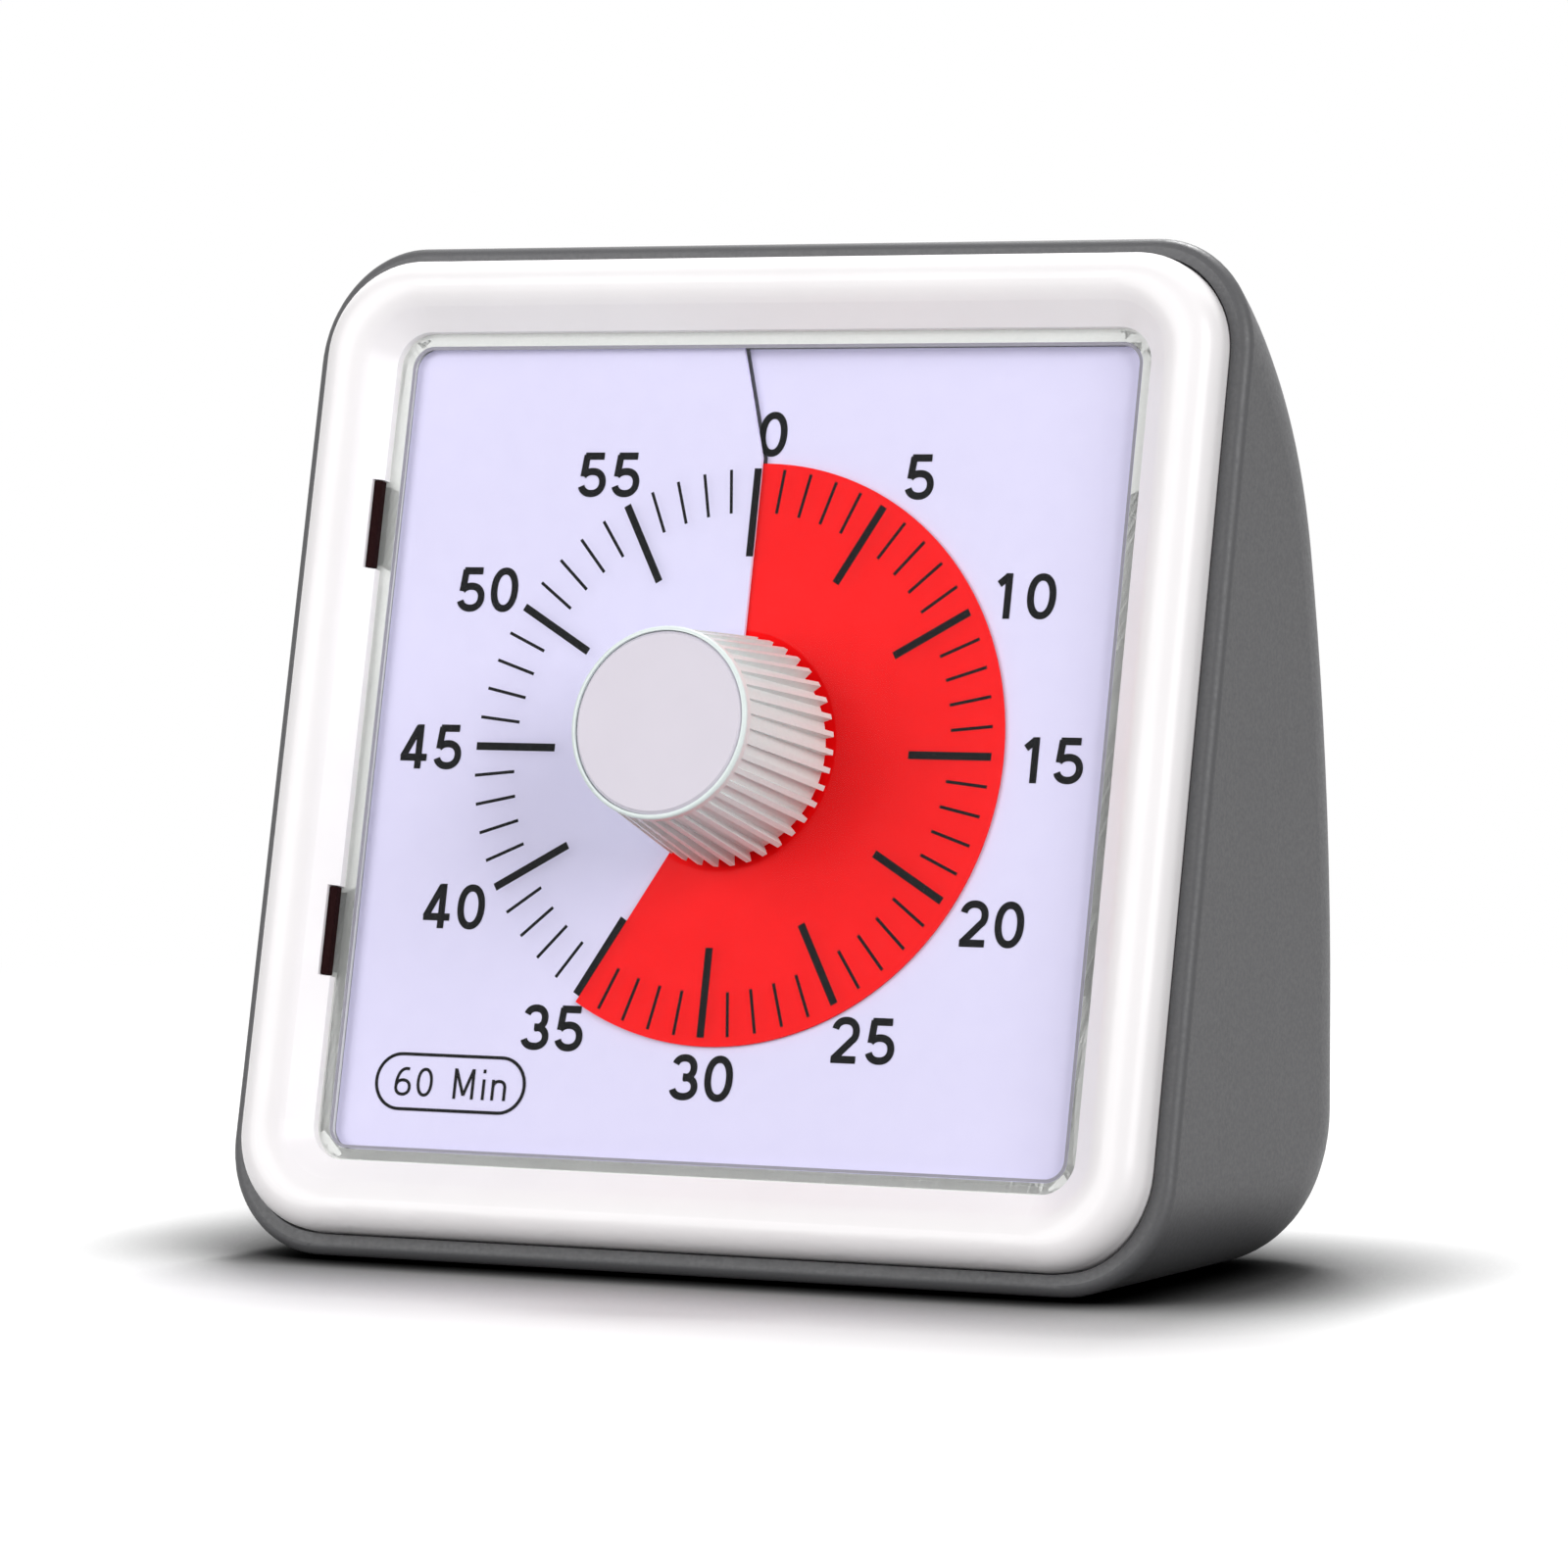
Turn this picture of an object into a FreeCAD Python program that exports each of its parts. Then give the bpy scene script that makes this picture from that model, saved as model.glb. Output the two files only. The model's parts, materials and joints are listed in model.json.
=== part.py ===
import FreeCAD, Part
import math
import os
from FreeCAD import Placement, Rotation, Vector

# A sixty minute visual countdown timer: a wedge shaped table case, a white front
# bezel, a slit dial card with a red film disc that passes through the slit, a
# ribbed knob, and a quartz movement, sounder and one AA cell inside.
# Sizes are millimetres and degrees. Case frame: the foot of the front rim is the
# origin, +Y runs back, +Z up. Dial frame: u right, v up the slope, w out of the
# face, with w = 0 on the outer edge of the bezel.

# Case
CASE_WIDTH = 81.4
RIM_HEIGHT = 81.8
FACE_TILT = 12.7
RIM_SIDE = 1.7
RIM_END = 1.9
EDGE_RADIUS = 8.6
FOOT_EDGE_RADIUS = 12.0
BACK_STRAIGHT = 20.0
SWEEP_RADIUS = 158.0
TOP_SLOPE = 36.0
TOP_LAND = 3.07
WALL = 1.8
RIM_SETBACK = 1.8
RIM_EDGE_RADIUS = 0.8
REACH = 12.0
OVERRUN = 1.0

# Clearances
TOUCH = 0.01
SEAT_GAP = 0.15
RUNNING_GAP = 0.05
DOOR_GAP = 0.25
FREE_GAP = 0.4

# Feet
FOOT_RADIUS = 3.2
FOOT_THICKNESS = 1.3
FOOT_PROUD = 0.4
FOOT_INSET_X = 12.0
FOOT_INSET_Y = 9.0

# Bezel
BEZEL_SIDE = 6.05
BEZEL_END = 5.7
BEZEL_CORNER = 7.8
BEZEL_CROWN = 1.2
BEZEL_EDGE_RADIUS = 2.1
BEZEL_SLOPE_WIDTH = 2.6
BEZEL_SLOPE_END = 1.1
BEZEL_BROW_RADIUS = 3.0
BEZEL_FLANGE = 1.4
BEZEL_SKIRT_WALL = 1.2
BEZEL_SKIRT_DEPTH = 5.2
BEZEL_SCREW_INSET = 1.55
BEZEL_SCREW_SHANK = 0.6
BEZEL_SCREW_HEAD = 1.25
BEZEL_SCREW_BITE = 1.1
WINDOW_CORNER = 1.8
LEDGE_WIDTH = 1.0
LEDGE_DEPTH = 1.85
SLOT_LENGTH = 7.2
SLOT_DEPTH = 0.75
HOOK_COVER = 0.3
SLOT_PITCH = 32.8
SLOT_OFFSET = 1.2

# Lens
LENS_THICKNESS = 0.6
TAB_THICKNESS = 0.35
TAB_LENGTH = 6.4
TAB_REACH = 0.7

# Dial frame that carries the card and the movement
FRAME_FLANGE = 1.8
FRAME_CORNER = 2.0
FRAME_FLOOR = 4.1
FRAME_FLOOR_THICKNESS = 1.2
CARD_POST_RADIUS = 1.2
CARD_POST_COUNT = 8
CARD_POST_CIRCLE = 27.5

# Dial card and red film, both wound with the same pitch
CARD_THICKNESS = 0.3
FILM_THICKNESS = 0.2
FILM_CARD_GAP = 0.1
CARD_MID = -3.3
CARD_HOLE_RADIUS = 7.5
FILM_RADIUS = 23.0
FILM_BORE = 5.7
FILM_OPENING = 1.5
SLIT_WIDTH = 0.16
SLIT_TOP_OFFSET = 2.6
SET_MINUTES = 35.0
FULL_MINUTES = 60.0
TURN = 360.0
WIND_STEP = 10.0
SLIT_MARGIN = 1.5

# Knob
KNOB_REACH = 10.2
KNOB_FRONT_RADIUS = 7.5
KNOB_GROOVE = 0.25
KNOB_BASE_RADIUS = 8.3
KNOB_RIB_RADIUS = 9.1
KNOB_RIB_COUNT = 40
KNOB_RIB_WIDTH = 0.42
KNOB_RIB_FOOT = 0.25
KNOB_BAND = 0.8
KNOB_WALL = 1.2
KNOB_SKIRT = 1.85
KNOB_BOSS_RADIUS = 3.2
CAP_RADIUS = 7.1
CAP_THICKNESS = 0.6
CAP_CHAMFER = 0.25
SHAFT_RADIUS = 1.5
HUB_RADIUS = 5.2
HUB_FLANGE_RADIUS = 6.4
HUB_FLANGE_THICKNESS = 0.6
KNOB_SCREW_SHANK = 0.9
KNOB_SCREW_HEAD = 1.9
KNOB_SCREW_LENGTH = 4.5
SCREW_HEAD_HEIGHT = 1.1

# Movement case
MOVEMENT_WIDTH = 40.0
MOVEMENT_LOW = -18.0
MOVEMENT_HIGH = 20.0
MOVEMENT_DEPTH = 10.0
MOVEMENT_PLATE = 1.2
MOVEMENT_WALL = 1.0
BEARING_SKIN = 0.25
MOVEMENT_CORNER = 2.0
EAR_SPACING = 24.0
EAR_REACH = 4.4
EAR_THICKNESS = 1.2
EAR_STANDOFF = 3.0
EAR_POST_RADIUS = 2.0
SMALL_SHANK = 0.9
SMALL_HEAD = 1.7
SMALL_SCREW_LENGTH = 3.6

# Gear train
MODULE = 0.25
PINION_LEAVES = 8
CENTRE_TEETH = 80
THIRD_TEETH = 48
SECOND_TEETH = 48
INTERMEDIATE_TEETH = 40
WHEEL_THICKNESS = 0.5
PINION_LENGTH = 1.3
LEVEL_FIRST = 1.0
LEVEL_PITCH = 1.65
ARBOR_RADIUS = 0.4
PIVOT_RADIUS = 0.3
PIVOT_LENGTH = 0.6
END_SHAKE = 0.12
TOOTH_HEIGHT = 0.72
TOOTH_DEPTH = 1.2
TOOTH_SHARE = 0.4
TIP_SHARE = 0.22
THIRD_BEARING = 135.0
SECOND_BEARING = 30.0
INTERMEDIATE_BEARING = -10.0
ROTOR_BEARING = -20.0
COLLAR_RADIUS = 2.4
COLLAR_THICKNESS = 0.6
CLUTCH_RADIUS = 3.6
CLUTCH_THICKNESS = 0.3
CLUTCH_ARM_WIDTH = 1.4
CLUTCH_ARMS = 3

# Step motor
MAGNET_RADIUS = 2.3
MAGNET_LENGTH = 2.0
MAGNET_DROP = 1.4
AIR_GAP = 0.45
STATOR_RING = 1.6
STATOR_THICKNESS = 1.0
COIL_RADIUS = 2.3
COIL_LENGTH = 11.0
COIL_U = 15.9
COIL_TOP = 2.9
CORE_WIDTH = 2.0
CORE_RADIUS = 1.2
PEG_RADIUS = 1.0
WINDING_DROP = 0.2
BOBBIN_FLANGE = 0.6

# Circuit board
BOARD_WIDTH = 30.0
BOARD_HEIGHT = 5.2
BOARD_THICKNESS = 0.8
BOARD_EDGE_GAP = 0.4
CHIP_RADIUS = 2.0
CHIP_HEIGHT = 0.9
CHIP_INSET = 7.5
CRYSTAL_RADIUS = 0.95
CRYSTAL_LENGTH = 6.0

# Battery bay and door
CELL_RADIUS = 7.25
CELL_LENGTH = 49.5
CELL_NUB_RADIUS = 2.75
CELL_NUB_LENGTH = 1.0
CELL_EDGE = 0.8
BAY_FLOOR = 9.6
BAY_GAP = 0.35
BAY_WALL = 1.0
BAY_DISTANCE = 2.7
CONTACT_THICKNESS = 0.35
CONTACT_WIDTH = 9.0
CONTACT_BOW = 1.7
DOOR_LIP = 1.3
DOOR_LIP_WIDTH = 6.0
DOOR_LIP_X = 13.65
SCOOP_RADIUS = 4.5
SCOOP_DEPTH = 0.9
GRIP_COUNT = 4
GRIP_WIDTH = 12.0
GRIP_PITCH = 1.4
GRIP_HEIGHT = 0.6
GRIP_DEPTH = 0.4
GRIP_MARGIN = 2.0

# Volume switch
SWITCH_RISE = 6.7
SWITCH_TRAVEL = 3.0
SWITCH_BODY_WIDTH = 9.5
SWITCH_BODY_HEIGHT = 4.2
SWITCH_BODY_DEPTH = 3.4
SWITCH_RECESS_WIDTH = 11.0
SWITCH_RECESS_HEIGHT = 5.4
SWITCH_RECESS_DEPTH = 1.0
SLIDER_WIDTH = 3.4
SLIDER_HEIGHT = 3.8
SLIDER_STEM = 1.6
SLIDER_PROUD = 0.35
SLIDER_RIDGES = 3
SLIDER_RIDGE_WIDTH = 0.4

# Sounder
SOUNDER_RADIUS = 9.0
SOUNDER_THICKNESS = 2.4
SOUNDER_RISE = 15.0
SOUNDER_RING_WALL = 0.9
SOUNDER_PORT_RADIUS = 1.0
SOUND_HOLE_RADIUS = 0.75
SOUND_RING_PITCH = 2.7
SOUND_RING_COUNT = 2
FIRST_RING_HOLES = 6

# Case screws in their wells
WELL_INSET_LOW = 10.7
WELL_INSET_HIGH = 13.2
WELL_RISE = 6.7
WELL_DROP = 16.8
WELL_RADIUS = 2.5
WELL_WALL = 0.9
WELL_FLOOR = 1.2
POST_RADIUS = 2.4
POST_STANDOFF = 5.0
CASE_SHANK = 1.1
CASE_HEAD = 2.1
CASE_SCREW_LENGTH = 5.5
RECESS_WIDTH = 0.5
RECESS_DEPTH = 0.5
RECESS_SHARE = 0.6

TILT = math.radians(FACE_TILT)
HALF_WIDTH = CASE_WIDTH / 2
BEZEL_WIDTH = CASE_WIDTH - 2 * RIM_SIDE
BEZEL_HEIGHT = RIM_HEIGHT - 2 * RIM_END
WINDOW_WIDTH = BEZEL_WIDTH - 2 * (BEZEL_SIDE + LEDGE_WIDTH)
WINDOW_HEIGHT = BEZEL_HEIGHT - 2 * (BEZEL_END + LEDGE_WIDTH)
RIM_TOP_Y = RIM_HEIGHT * math.sin(TILT)
RIM_TOP_Z = RIM_HEIGHT * math.cos(TILT)
DIAL_Y = RIM_HEIGHT / 2 * math.sin(TILT) - RIM_SETBACK * math.cos(TILT)
DIAL_Z = RIM_HEIGHT / 2 * math.cos(TILT) + RIM_SETBACK * math.sin(TILT)
DIAL_PLACE = Placement(Vector(0, DIAL_Y, DIAL_Z), Rotation(Vector(1, 0, 0), 90 - FACE_TILT))

# The movement hangs behind the dial frame, and the battery bay clears its low back edge.
FRAME_WIDTH = WINDOW_WIDTH + 2 * (LEDGE_WIDTH + FRAME_FLANGE)
FRAME_HEIGHT = WINDOW_HEIGHT + 2 * (LEDGE_WIDTH + FRAME_FLANGE)
FRAME_BACK = -FRAME_FLOOR - FRAME_FLOOR_THICKNESS
MOVEMENT_FRONT = FRAME_BACK
MOVEMENT_BACK = MOVEMENT_FRONT - MOVEMENT_DEPTH
MOVEMENT_EDGE_Y = DIAL_Y + MOVEMENT_LOW * math.sin(TILT) - MOVEMENT_BACK * math.cos(TILT)
BAY_FRONT = MOVEMENT_EDGE_Y + BAY_DISTANCE + BAY_WALL
CELL_Y = BAY_FRONT + BAY_GAP + CELL_RADIUS
BASE_DEPTH = CELL_Y + CELL_RADIUS + BAY_GAP + WALL

# The row frame has its origin under the middle of the whole timer, on the table.
KNOB_EDGE_REACH = (KNOB_REACH - CAP_CHAMFER) * math.cos(TILT)
KNOB_EDGE_DROP = (KNOB_FRONT_RADIUS - CAP_CHAMFER) * math.sin(TILT)
KNOB_LOWEST_Y = DIAL_Y - KNOB_EDGE_REACH - KNOB_EDGE_DROP - CAP_CHAMFER
ROW_SHIFT = Vector(0, -(KNOB_LOWEST_Y + BASE_DEPTH) / 2, FOOT_PROUD)

# Winding of card and film: in one turn the film climbs from behind to the front.
WIND_HALF = CARD_THICKNESS / 2 + FILM_CARD_GAP + FILM_THICKNESS / 2
WIND_PITCH = 2 * WIND_HALF
SET_ANGLE = TURN * SET_MINUTES / FULL_MINUTES

CAVITY_FRONT = MOVEMENT_FRONT - MOVEMENT_PLATE
CAVITY_BACK = MOVEMENT_BACK + MOVEMENT_WALL
BEARING_FLOOR = MOVEMENT_BACK + BEARING_SKIN
MOVEMENT_HEIGHT = MOVEMENT_HIGH - MOVEMENT_LOW
MOVEMENT_V = (MOVEMENT_HIGH + MOVEMENT_LOW) / 2
KNOB_FOOT = -KNOB_SKIRT
SHAFT_TOP = KNOB_REACH - CAP_THICKNESS - SCREW_HEAD_HEIGHT - SEAT_GAP - KNOB_WALL
MAGNET_FRONT = CAVITY_FRONT - MAGNET_DROP
STATOR_MID = MAGNET_FRONT - MAGNET_LENGTH / 2
BAY_TOP = BAY_FLOOR + 2 * (CELL_RADIUS + BAY_GAP)
CELL_Z = BAY_FLOOR + BAY_GAP + CELL_RADIUS
BAY_LENGTH = CELL_LENGTH + CELL_NUB_LENGTH + CONTACT_BOW * 2 + CONTACT_THICKNESS * 2
WELL_HEIGHT_LOW = BAY_TOP + WELL_RISE
WELL_HEIGHT_HIGH = RIM_TOP_Z - WELL_DROP


def crown_arc():
    """Return the centre and radius of the back's crown, and the angle where it meets the sweep."""
    slope = math.radians(TOP_SLOPE)
    end_y = RIM_TOP_Y + TOP_LAND * math.cos(slope)
    end_z = RIM_TOP_Z - TOP_LAND * math.sin(slope)
    sweep_y = BASE_DEPTH - SWEEP_RADIUS
    across = end_y - sweep_y
    rise = end_z - BACK_STRAIGHT
    span = across * math.sin(slope) + rise * math.cos(slope)
    radius = (SWEEP_RADIUS**2 - across**2 - rise**2) / (2 * (SWEEP_RADIUS - span))
    centre = (end_y - radius * math.sin(slope), end_z - radius * math.cos(slope))
    return centre, radius, math.atan2(centre[1] - BACK_STRAIGHT, centre[0] - sweep_y)


def back_y(z, inset):
    """Return the y of the case's back, drawn in by inset, at a height above its straight part."""
    centre, radius, start = crown_arc()
    if z < BACK_STRAIGHT + SWEEP_RADIUS * math.sin(start):
        centre = (BASE_DEPTH - SWEEP_RADIUS, BACK_STRAIGHT)
        radius = SWEEP_RADIUS
    return centre[0] + math.sqrt((radius - inset) ** 2 - (z - centre[1]) ** 2)


SWITCH_HEIGHT = BAY_TOP + SWITCH_RISE
SWITCH_FACE_Y = back_y(SWITCH_HEIGHT, 0)
SWITCH_SEAT = SWITCH_FACE_Y - WALL
SWITCH_FRONT = SWITCH_SEAT - SWITCH_BODY_DEPTH
SOUNDER_HEIGHT = SWITCH_HEIGHT + SOUNDER_RISE
SOUNDER_RING_RADIUS = SOUNDER_RADIUS + SEAT_GAP + SOUNDER_RING_WALL
SOUNDER_SEAT = back_y(SOUNDER_HEIGHT + SOUNDER_RING_RADIUS, WALL) - FREE_GAP


def box(low, high):
    """Return a box between two corner points."""
    size = [high[axis] - low[axis] for axis in range(3)]
    return Part.makeBox(size[0], size[1], size[2], Vector(*low))


def rounded_wire(width, height, radius, level):
    """Return a rectangle with round corners, centred in the dial frame at w = level."""
    x = width / 2
    y = height / 2
    r = radius
    d = r * (1 - math.sqrt(0.5))
    edges = []
    corners = [(1, 1), (-1, 1), (-1, -1), (1, -1)]
    for index, (sx, sy) in enumerate(corners):
        first = Vector(sx * x, sy * (y - r), level)
        last = Vector(sx * (x - r), sy * y, level)
        if index % 2:
            first, last = last, first
        middle = Vector(sx * (x - d), sy * (y - d), level)
        edges.append((first, middle, last))
    wire = []
    for index, (first, middle, last) in enumerate(edges):
        wire.append(Part.Arc(first, middle, last).toShape())
        wire.append(Part.makeLine(last, edges[(index + 1) % 4][0]))
    return Part.Wire(wire)


def rounded_block(width, height, radius, low, high):
    """Return a block with round corners between two w levels of the dial frame."""
    face = Part.Face(rounded_wire(width, height, radius, low))
    return face.extrude(Vector(0, 0, high - low))


def rod(radius, low, high, u=0.0, v=0.0):
    """Return a cylinder along w in the dial frame."""
    return Part.makeCylinder(radius, high - low, Vector(u, v, low))


def cone(low_radius, high_radius, low, high):
    """Return a cone frustum along w in the dial frame."""
    return Part.makeCone(low_radius, high_radius, high - low, Vector(0, 0, low))


def back_rod(radius, x, z, front, back):
    """Return a cylinder along Y in the case frame."""
    return Part.makeCylinder(radius, back - front, Vector(x, front, z), Vector(0, 1, 0))


def in_case(shape):
    """Take a shape from the dial frame to the case frame."""
    moved = shape.copy()
    moved.Placement = DIAL_PLACE.multiply(moved.Placement)
    return moved


def join(shapes):
    """Fuse shapes into one solid and merge their coplanar faces."""
    fused = shapes[0].multiFuse(shapes[1:]).removeSplitter()
    return fused


def save(name, shapes):
    """Write one named sub-part from case frame solids, moved to the row frame."""
    solids = []
    for shape in shapes:
        solids.extend(shape.Solids)
    moved = []
    for solid in solids:
        copy = solid.copy()
        copy.Placement = Placement(ROW_SHIFT, Rotation()).multiply(copy.Placement)
        moved.append(copy)
    whole = moved[0] if len(moved) == 1 else Part.makeCompound(moved)
    whole.exportStep("parts/" + name + ".step")
    volume = sum(solid.Volume for solid in moved)
    print(name, len(moved), round(volume, 1), whole.isValid())


# Case body

def arc_edge(centre, radius, start, end):
    """Return an arc in the YZ plane, angles in radians from +Y towards +Z."""
    points = []
    for share in (0.0, 0.5, 1.0):
        angle = start + (end - start) * share
        y = centre[0] + radius * math.cos(angle)
        points.append(Vector(0, y, centre[1] + radius * math.sin(angle)))
    return Part.Arc(*points).toShape(), points[0], points[2]


def case_profile(inset, reach):
    """Return the side outline of the case, drawn in by inset and out in front by reach."""
    slope = math.radians(TOP_SLOPE)
    centre, radius, sweep = crown_arc()
    top_reach = RIM_TOP_Y * math.sin(slope) + RIM_TOP_Z * math.cos(slope)
    foot_centre = (BASE_DEPTH - FOOT_EDGE_RADIUS, FOOT_EDGE_RADIUS)
    sweep_centre = (BASE_DEPTH - SWEEP_RADIUS, BACK_STRAIGHT)
    foot, foot_low, foot_high = arc_edge(foot_centre, FOOT_EDGE_RADIUS - inset, -math.pi / 2, 0)
    back, back_low, back_high = arc_edge(sweep_centre, SWEEP_RADIUS - inset, 0, sweep)
    crown, crown_low, crown_high = arc_edge(centre, radius - inset, sweep, math.pi / 2 - slope)
    front_low = Vector(0, (inset * math.sin(TILT) - reach) / math.cos(TILT), inset)
    # The front plane and the sloping top meet at the front edge.
    lean = math.sin(slope) * math.sin(TILT) + math.cos(slope) * math.cos(TILT)
    span = top_reach - inset
    front_high_z = (span * math.cos(TILT) + reach * math.sin(slope)) / lean
    front_high_y = (span * math.sin(TILT) - reach * math.cos(slope)) / lean
    front_high = Vector(0, front_high_y, front_high_z)
    edges = [foot, Part.makeLine(foot_high, back_low), back, crown]
    edges.append(Part.makeLine(crown_high, front_high))
    edges.append(Part.makeLine(front_high, front_low))
    edges.append(Part.makeLine(front_low, foot_low))
    return Part.Face(Part.Wire(edges))


def case_body(inset):
    """Return the case form, smaller by inset all round and long past the front rim."""
    half = HALF_WIDTH - inset
    slab = case_profile(inset, REACH).extrude(Vector(2 * half, 0, 0))
    slab.translate(Vector(-half, 0, 0))
    side_edges = []
    for edge in slab.Edges:
        middle = edge.valueAt((edge.FirstParameter + edge.LastParameter) / 2)
        forward = middle.z * math.sin(TILT) - middle.y * math.cos(TILT)
        if abs(abs(middle.x) - half) < TOUCH and forward < REACH - TOUCH:
            side_edges.append(edge)
    # The rounding may not be larger than the crown arc that it runs along.
    return slab.makeFillet(min(EDGE_RADIUS, crown_arc()[1] - TOUCH) - inset, side_edges)


def ahead(level):
    """Return a block that holds everything in front of a w level of the dial frame."""
    size = 2 * CASE_WIDTH
    return in_case(box((-size, -size, level), (size, size, level + size)))


def case_form():
    """Return the whole case form, cut off at the plane of the front rim."""
    return case_body(0).cut(ahead(-RIM_SETBACK))


def skin(depth, low, high):
    """Return the case's outer skin, depth thick, inside the box between two corners."""
    return case_form().cut(case_body(depth)).common(box(low, high))


def well_spots():
    """Return x and z of the four case screws."""
    rows = ((WELL_INSET_LOW, WELL_HEIGHT_LOW), (WELL_INSET_HIGH, WELL_HEIGHT_HIGH))
    return [(side * (HALF_WIDTH - inset), z) for inset, z in rows for side in (-1, 1)]


def frame_back_y(z):
    """Return the y of the dial frame's back plane at a height of the case frame."""
    return DIAL_Y - FRAME_BACK / math.cos(TILT) + (z - DIAL_Z) * math.tan(TILT)


def post_end_y(z):
    """Return where the dial frame's screw post ends and the well floor starts."""
    return frame_back_y(z) + POST_STANDOFF


def foot_spots():
    """Return x and y of the four feet."""
    x = HALF_WIDTH - FOOT_INSET_X
    return [(sx * x, y) for y in (FOOT_INSET_Y, BASE_DEPTH - FOOT_EDGE_RADIUS) for sx in (-1, 1)]


def sound_spots():
    """Return x and z offsets of the holes in front of the sounder."""
    spots = [(0.0, 0.0)]
    for ring in range(1, SOUND_RING_COUNT + 1):
        count = FIRST_RING_HOLES * ring
        for index in range(count):
            angle = 2 * math.pi * index / count
            reach = ring * SOUND_RING_PITCH
            spots.append((reach * math.cos(angle), reach * math.sin(angle)))
    return spots


def rear_shell():
    """Return the one piece dark case with its bay, wells, rings and openings."""
    inner = case_body(WALL)
    shell = case_form().cut(inner)
    rim = [edge for edge in shell.Edges if rim_edge(edge)]
    shell = shell.makeFillet(RIM_EDGE_RADIUS, rim)
    half = BAY_LENGTH / 2
    low = (-half - BAY_WALL, BAY_FRONT - BAY_WALL, WALL / 2)
    high = (half + BAY_WALL, BASE_DEPTH, BAY_TOP + BAY_WALL)
    bay = box(low, high).cut(box((-half, BAY_FRONT, BAY_FLOOR), (half, BASE_DEPTH, BAY_TOP)))
    ribs = box((-half, BAY_FRONT, 0), (half, BASE_DEPTH, BAY_FLOOR - BAY_WALL))
    added = [bay.cut(ribs)]
    for x, z in well_spots():
        added.append(back_rod(WELL_RADIUS + WELL_WALL, x, z, post_end_y(z) + SEAT_GAP, BASE_DEPTH))
    ring_front = SOUNDER_SEAT - SOUNDER_THICKNESS
    added.append(back_rod(SOUNDER_RING_RADIUS, 0, SOUNDER_HEIGHT, ring_front, BASE_DEPTH))
    half_body = SWITCH_BODY_WIDTH / 2 + SEAT_GAP + BAY_WALL
    half_tall = SWITCH_BODY_HEIGHT / 2 + SEAT_GAP
    cradle_low = (-half_body, SWITCH_FRONT + BAY_WALL, SWITCH_HEIGHT - half_tall)
    cradle_high = (half_body, BASE_DEPTH, SWITCH_HEIGHT + half_tall)
    added.append(box(cradle_low, cradle_high))
    inside = [piece.common(case_body(WALL / 2)) for piece in added]
    shell = shell.multiFuse(inside)
    cuts = [box((-half, BAY_FRONT, BAY_FLOOR), (half, 2 * BASE_DEPTH, BAY_TOP))]
    cuts.append(back_rod(SOUNDER_RADIUS + SEAT_GAP, 0, SOUNDER_HEIGHT, ring_front, SOUNDER_SEAT))
    chamber_radius = SOUNDER_RADIUS - SOUNDER_RING_WALL
    chamber = back_rod(chamber_radius, 0, SOUNDER_HEIGHT, SOUNDER_SEAT - TOUCH, BASE_DEPTH)
    cuts.append(chamber.common(inner))
    for x, z in sound_spots():
        hole_z = SOUNDER_HEIGHT + z
        cuts.append(back_rod(SOUND_HOLE_RADIUS, x, hole_z, SOUNDER_SEAT - OVERRUN, 2 * BASE_DEPTH))
    for x, z in well_spots():
        floor = post_end_y(z) + SEAT_GAP + WELL_FLOOR
        cuts.append(back_rod(WELL_RADIUS, x, z, floor, 2 * BASE_DEPTH))
        cuts.append(back_rod(CASE_SHANK + SEAT_GAP, x, z, 0, BASE_DEPTH))
    for x, y in foot_spots():
        pocket = Part.makeCylinder(FOOT_RADIUS + SEAT_GAP, FOOT_THICKNESS - FOOT_PROUD, Vector(x, y, 0))
        cuts.append(pocket)
    seat_back = -BEZEL_FLANGE - RIM_SETBACK
    seat = rounded_block(BEZEL_WIDTH + 2 * SEAT_GAP, BEZEL_HEIGHT + 2 * SEAT_GAP,
                         BEZEL_CORNER + SEAT_GAP, seat_back, REACH)
    cuts.append(in_case(seat))
    cuts.append(door_lip_room())
    cuts.append(switch_room())
    scoop = Vector(0, BASE_DEPTH + SCOOP_RADIUS - SCOOP_DEPTH, BAY_TOP + DOOR_GAP)
    cuts.append(Part.makeSphere(SCOOP_RADIUS, scoop))
    # One cut after another: all at once, openings that touch each other can be lost.
    for cut in cuts:
        shell = shell.cut(cut)
    return shell


def rim_edge(edge):
    """Tell whether an edge is on the outside of the case's front rim."""
    for vertex in edge.Vertexes:
        forward = vertex.Z * math.sin(TILT) - vertex.Y * math.cos(TILT)
        sideways = abs(vertex.X) > HALF_WIDTH - TOUCH
        if abs(forward) > TOUCH:
            return False
        if not sideways and TOUCH < vertex.Z < RIM_TOP_Z - TOUCH:
            return False
    return True


def feet():
    """Return the four rubber feet in their pockets."""
    pads = []
    for x, y in foot_spots():
        pad = Part.makeCylinder(FOOT_RADIUS, FOOT_THICKNESS, Vector(x, y, -FOOT_PROUD))
        pads.append(pad.makeChamfer(FOOT_PROUD / 2, [pad.Edges[2]]))
    return pads


# Battery bay

def door_lip_room():
    """Return the pockets in the bay's floor edge for the door's two lips."""
    pockets = []
    y = BASE_DEPTH - WALL
    for side in (-1, 1):
        x = side * DOOR_LIP_X
        half = DOOR_LIP_WIDTH / 2 + DOOR_GAP
        low = (x - half, y - BAY_WALL - 2 * DOOR_GAP, BAY_FLOOR - DOOR_LIP - DOOR_GAP)
        pockets.append(box(low, (x + half, y + DOOR_GAP, BAY_FLOOR + DOOR_GAP)))
    return pockets[0].fuse(pockets[1])


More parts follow.
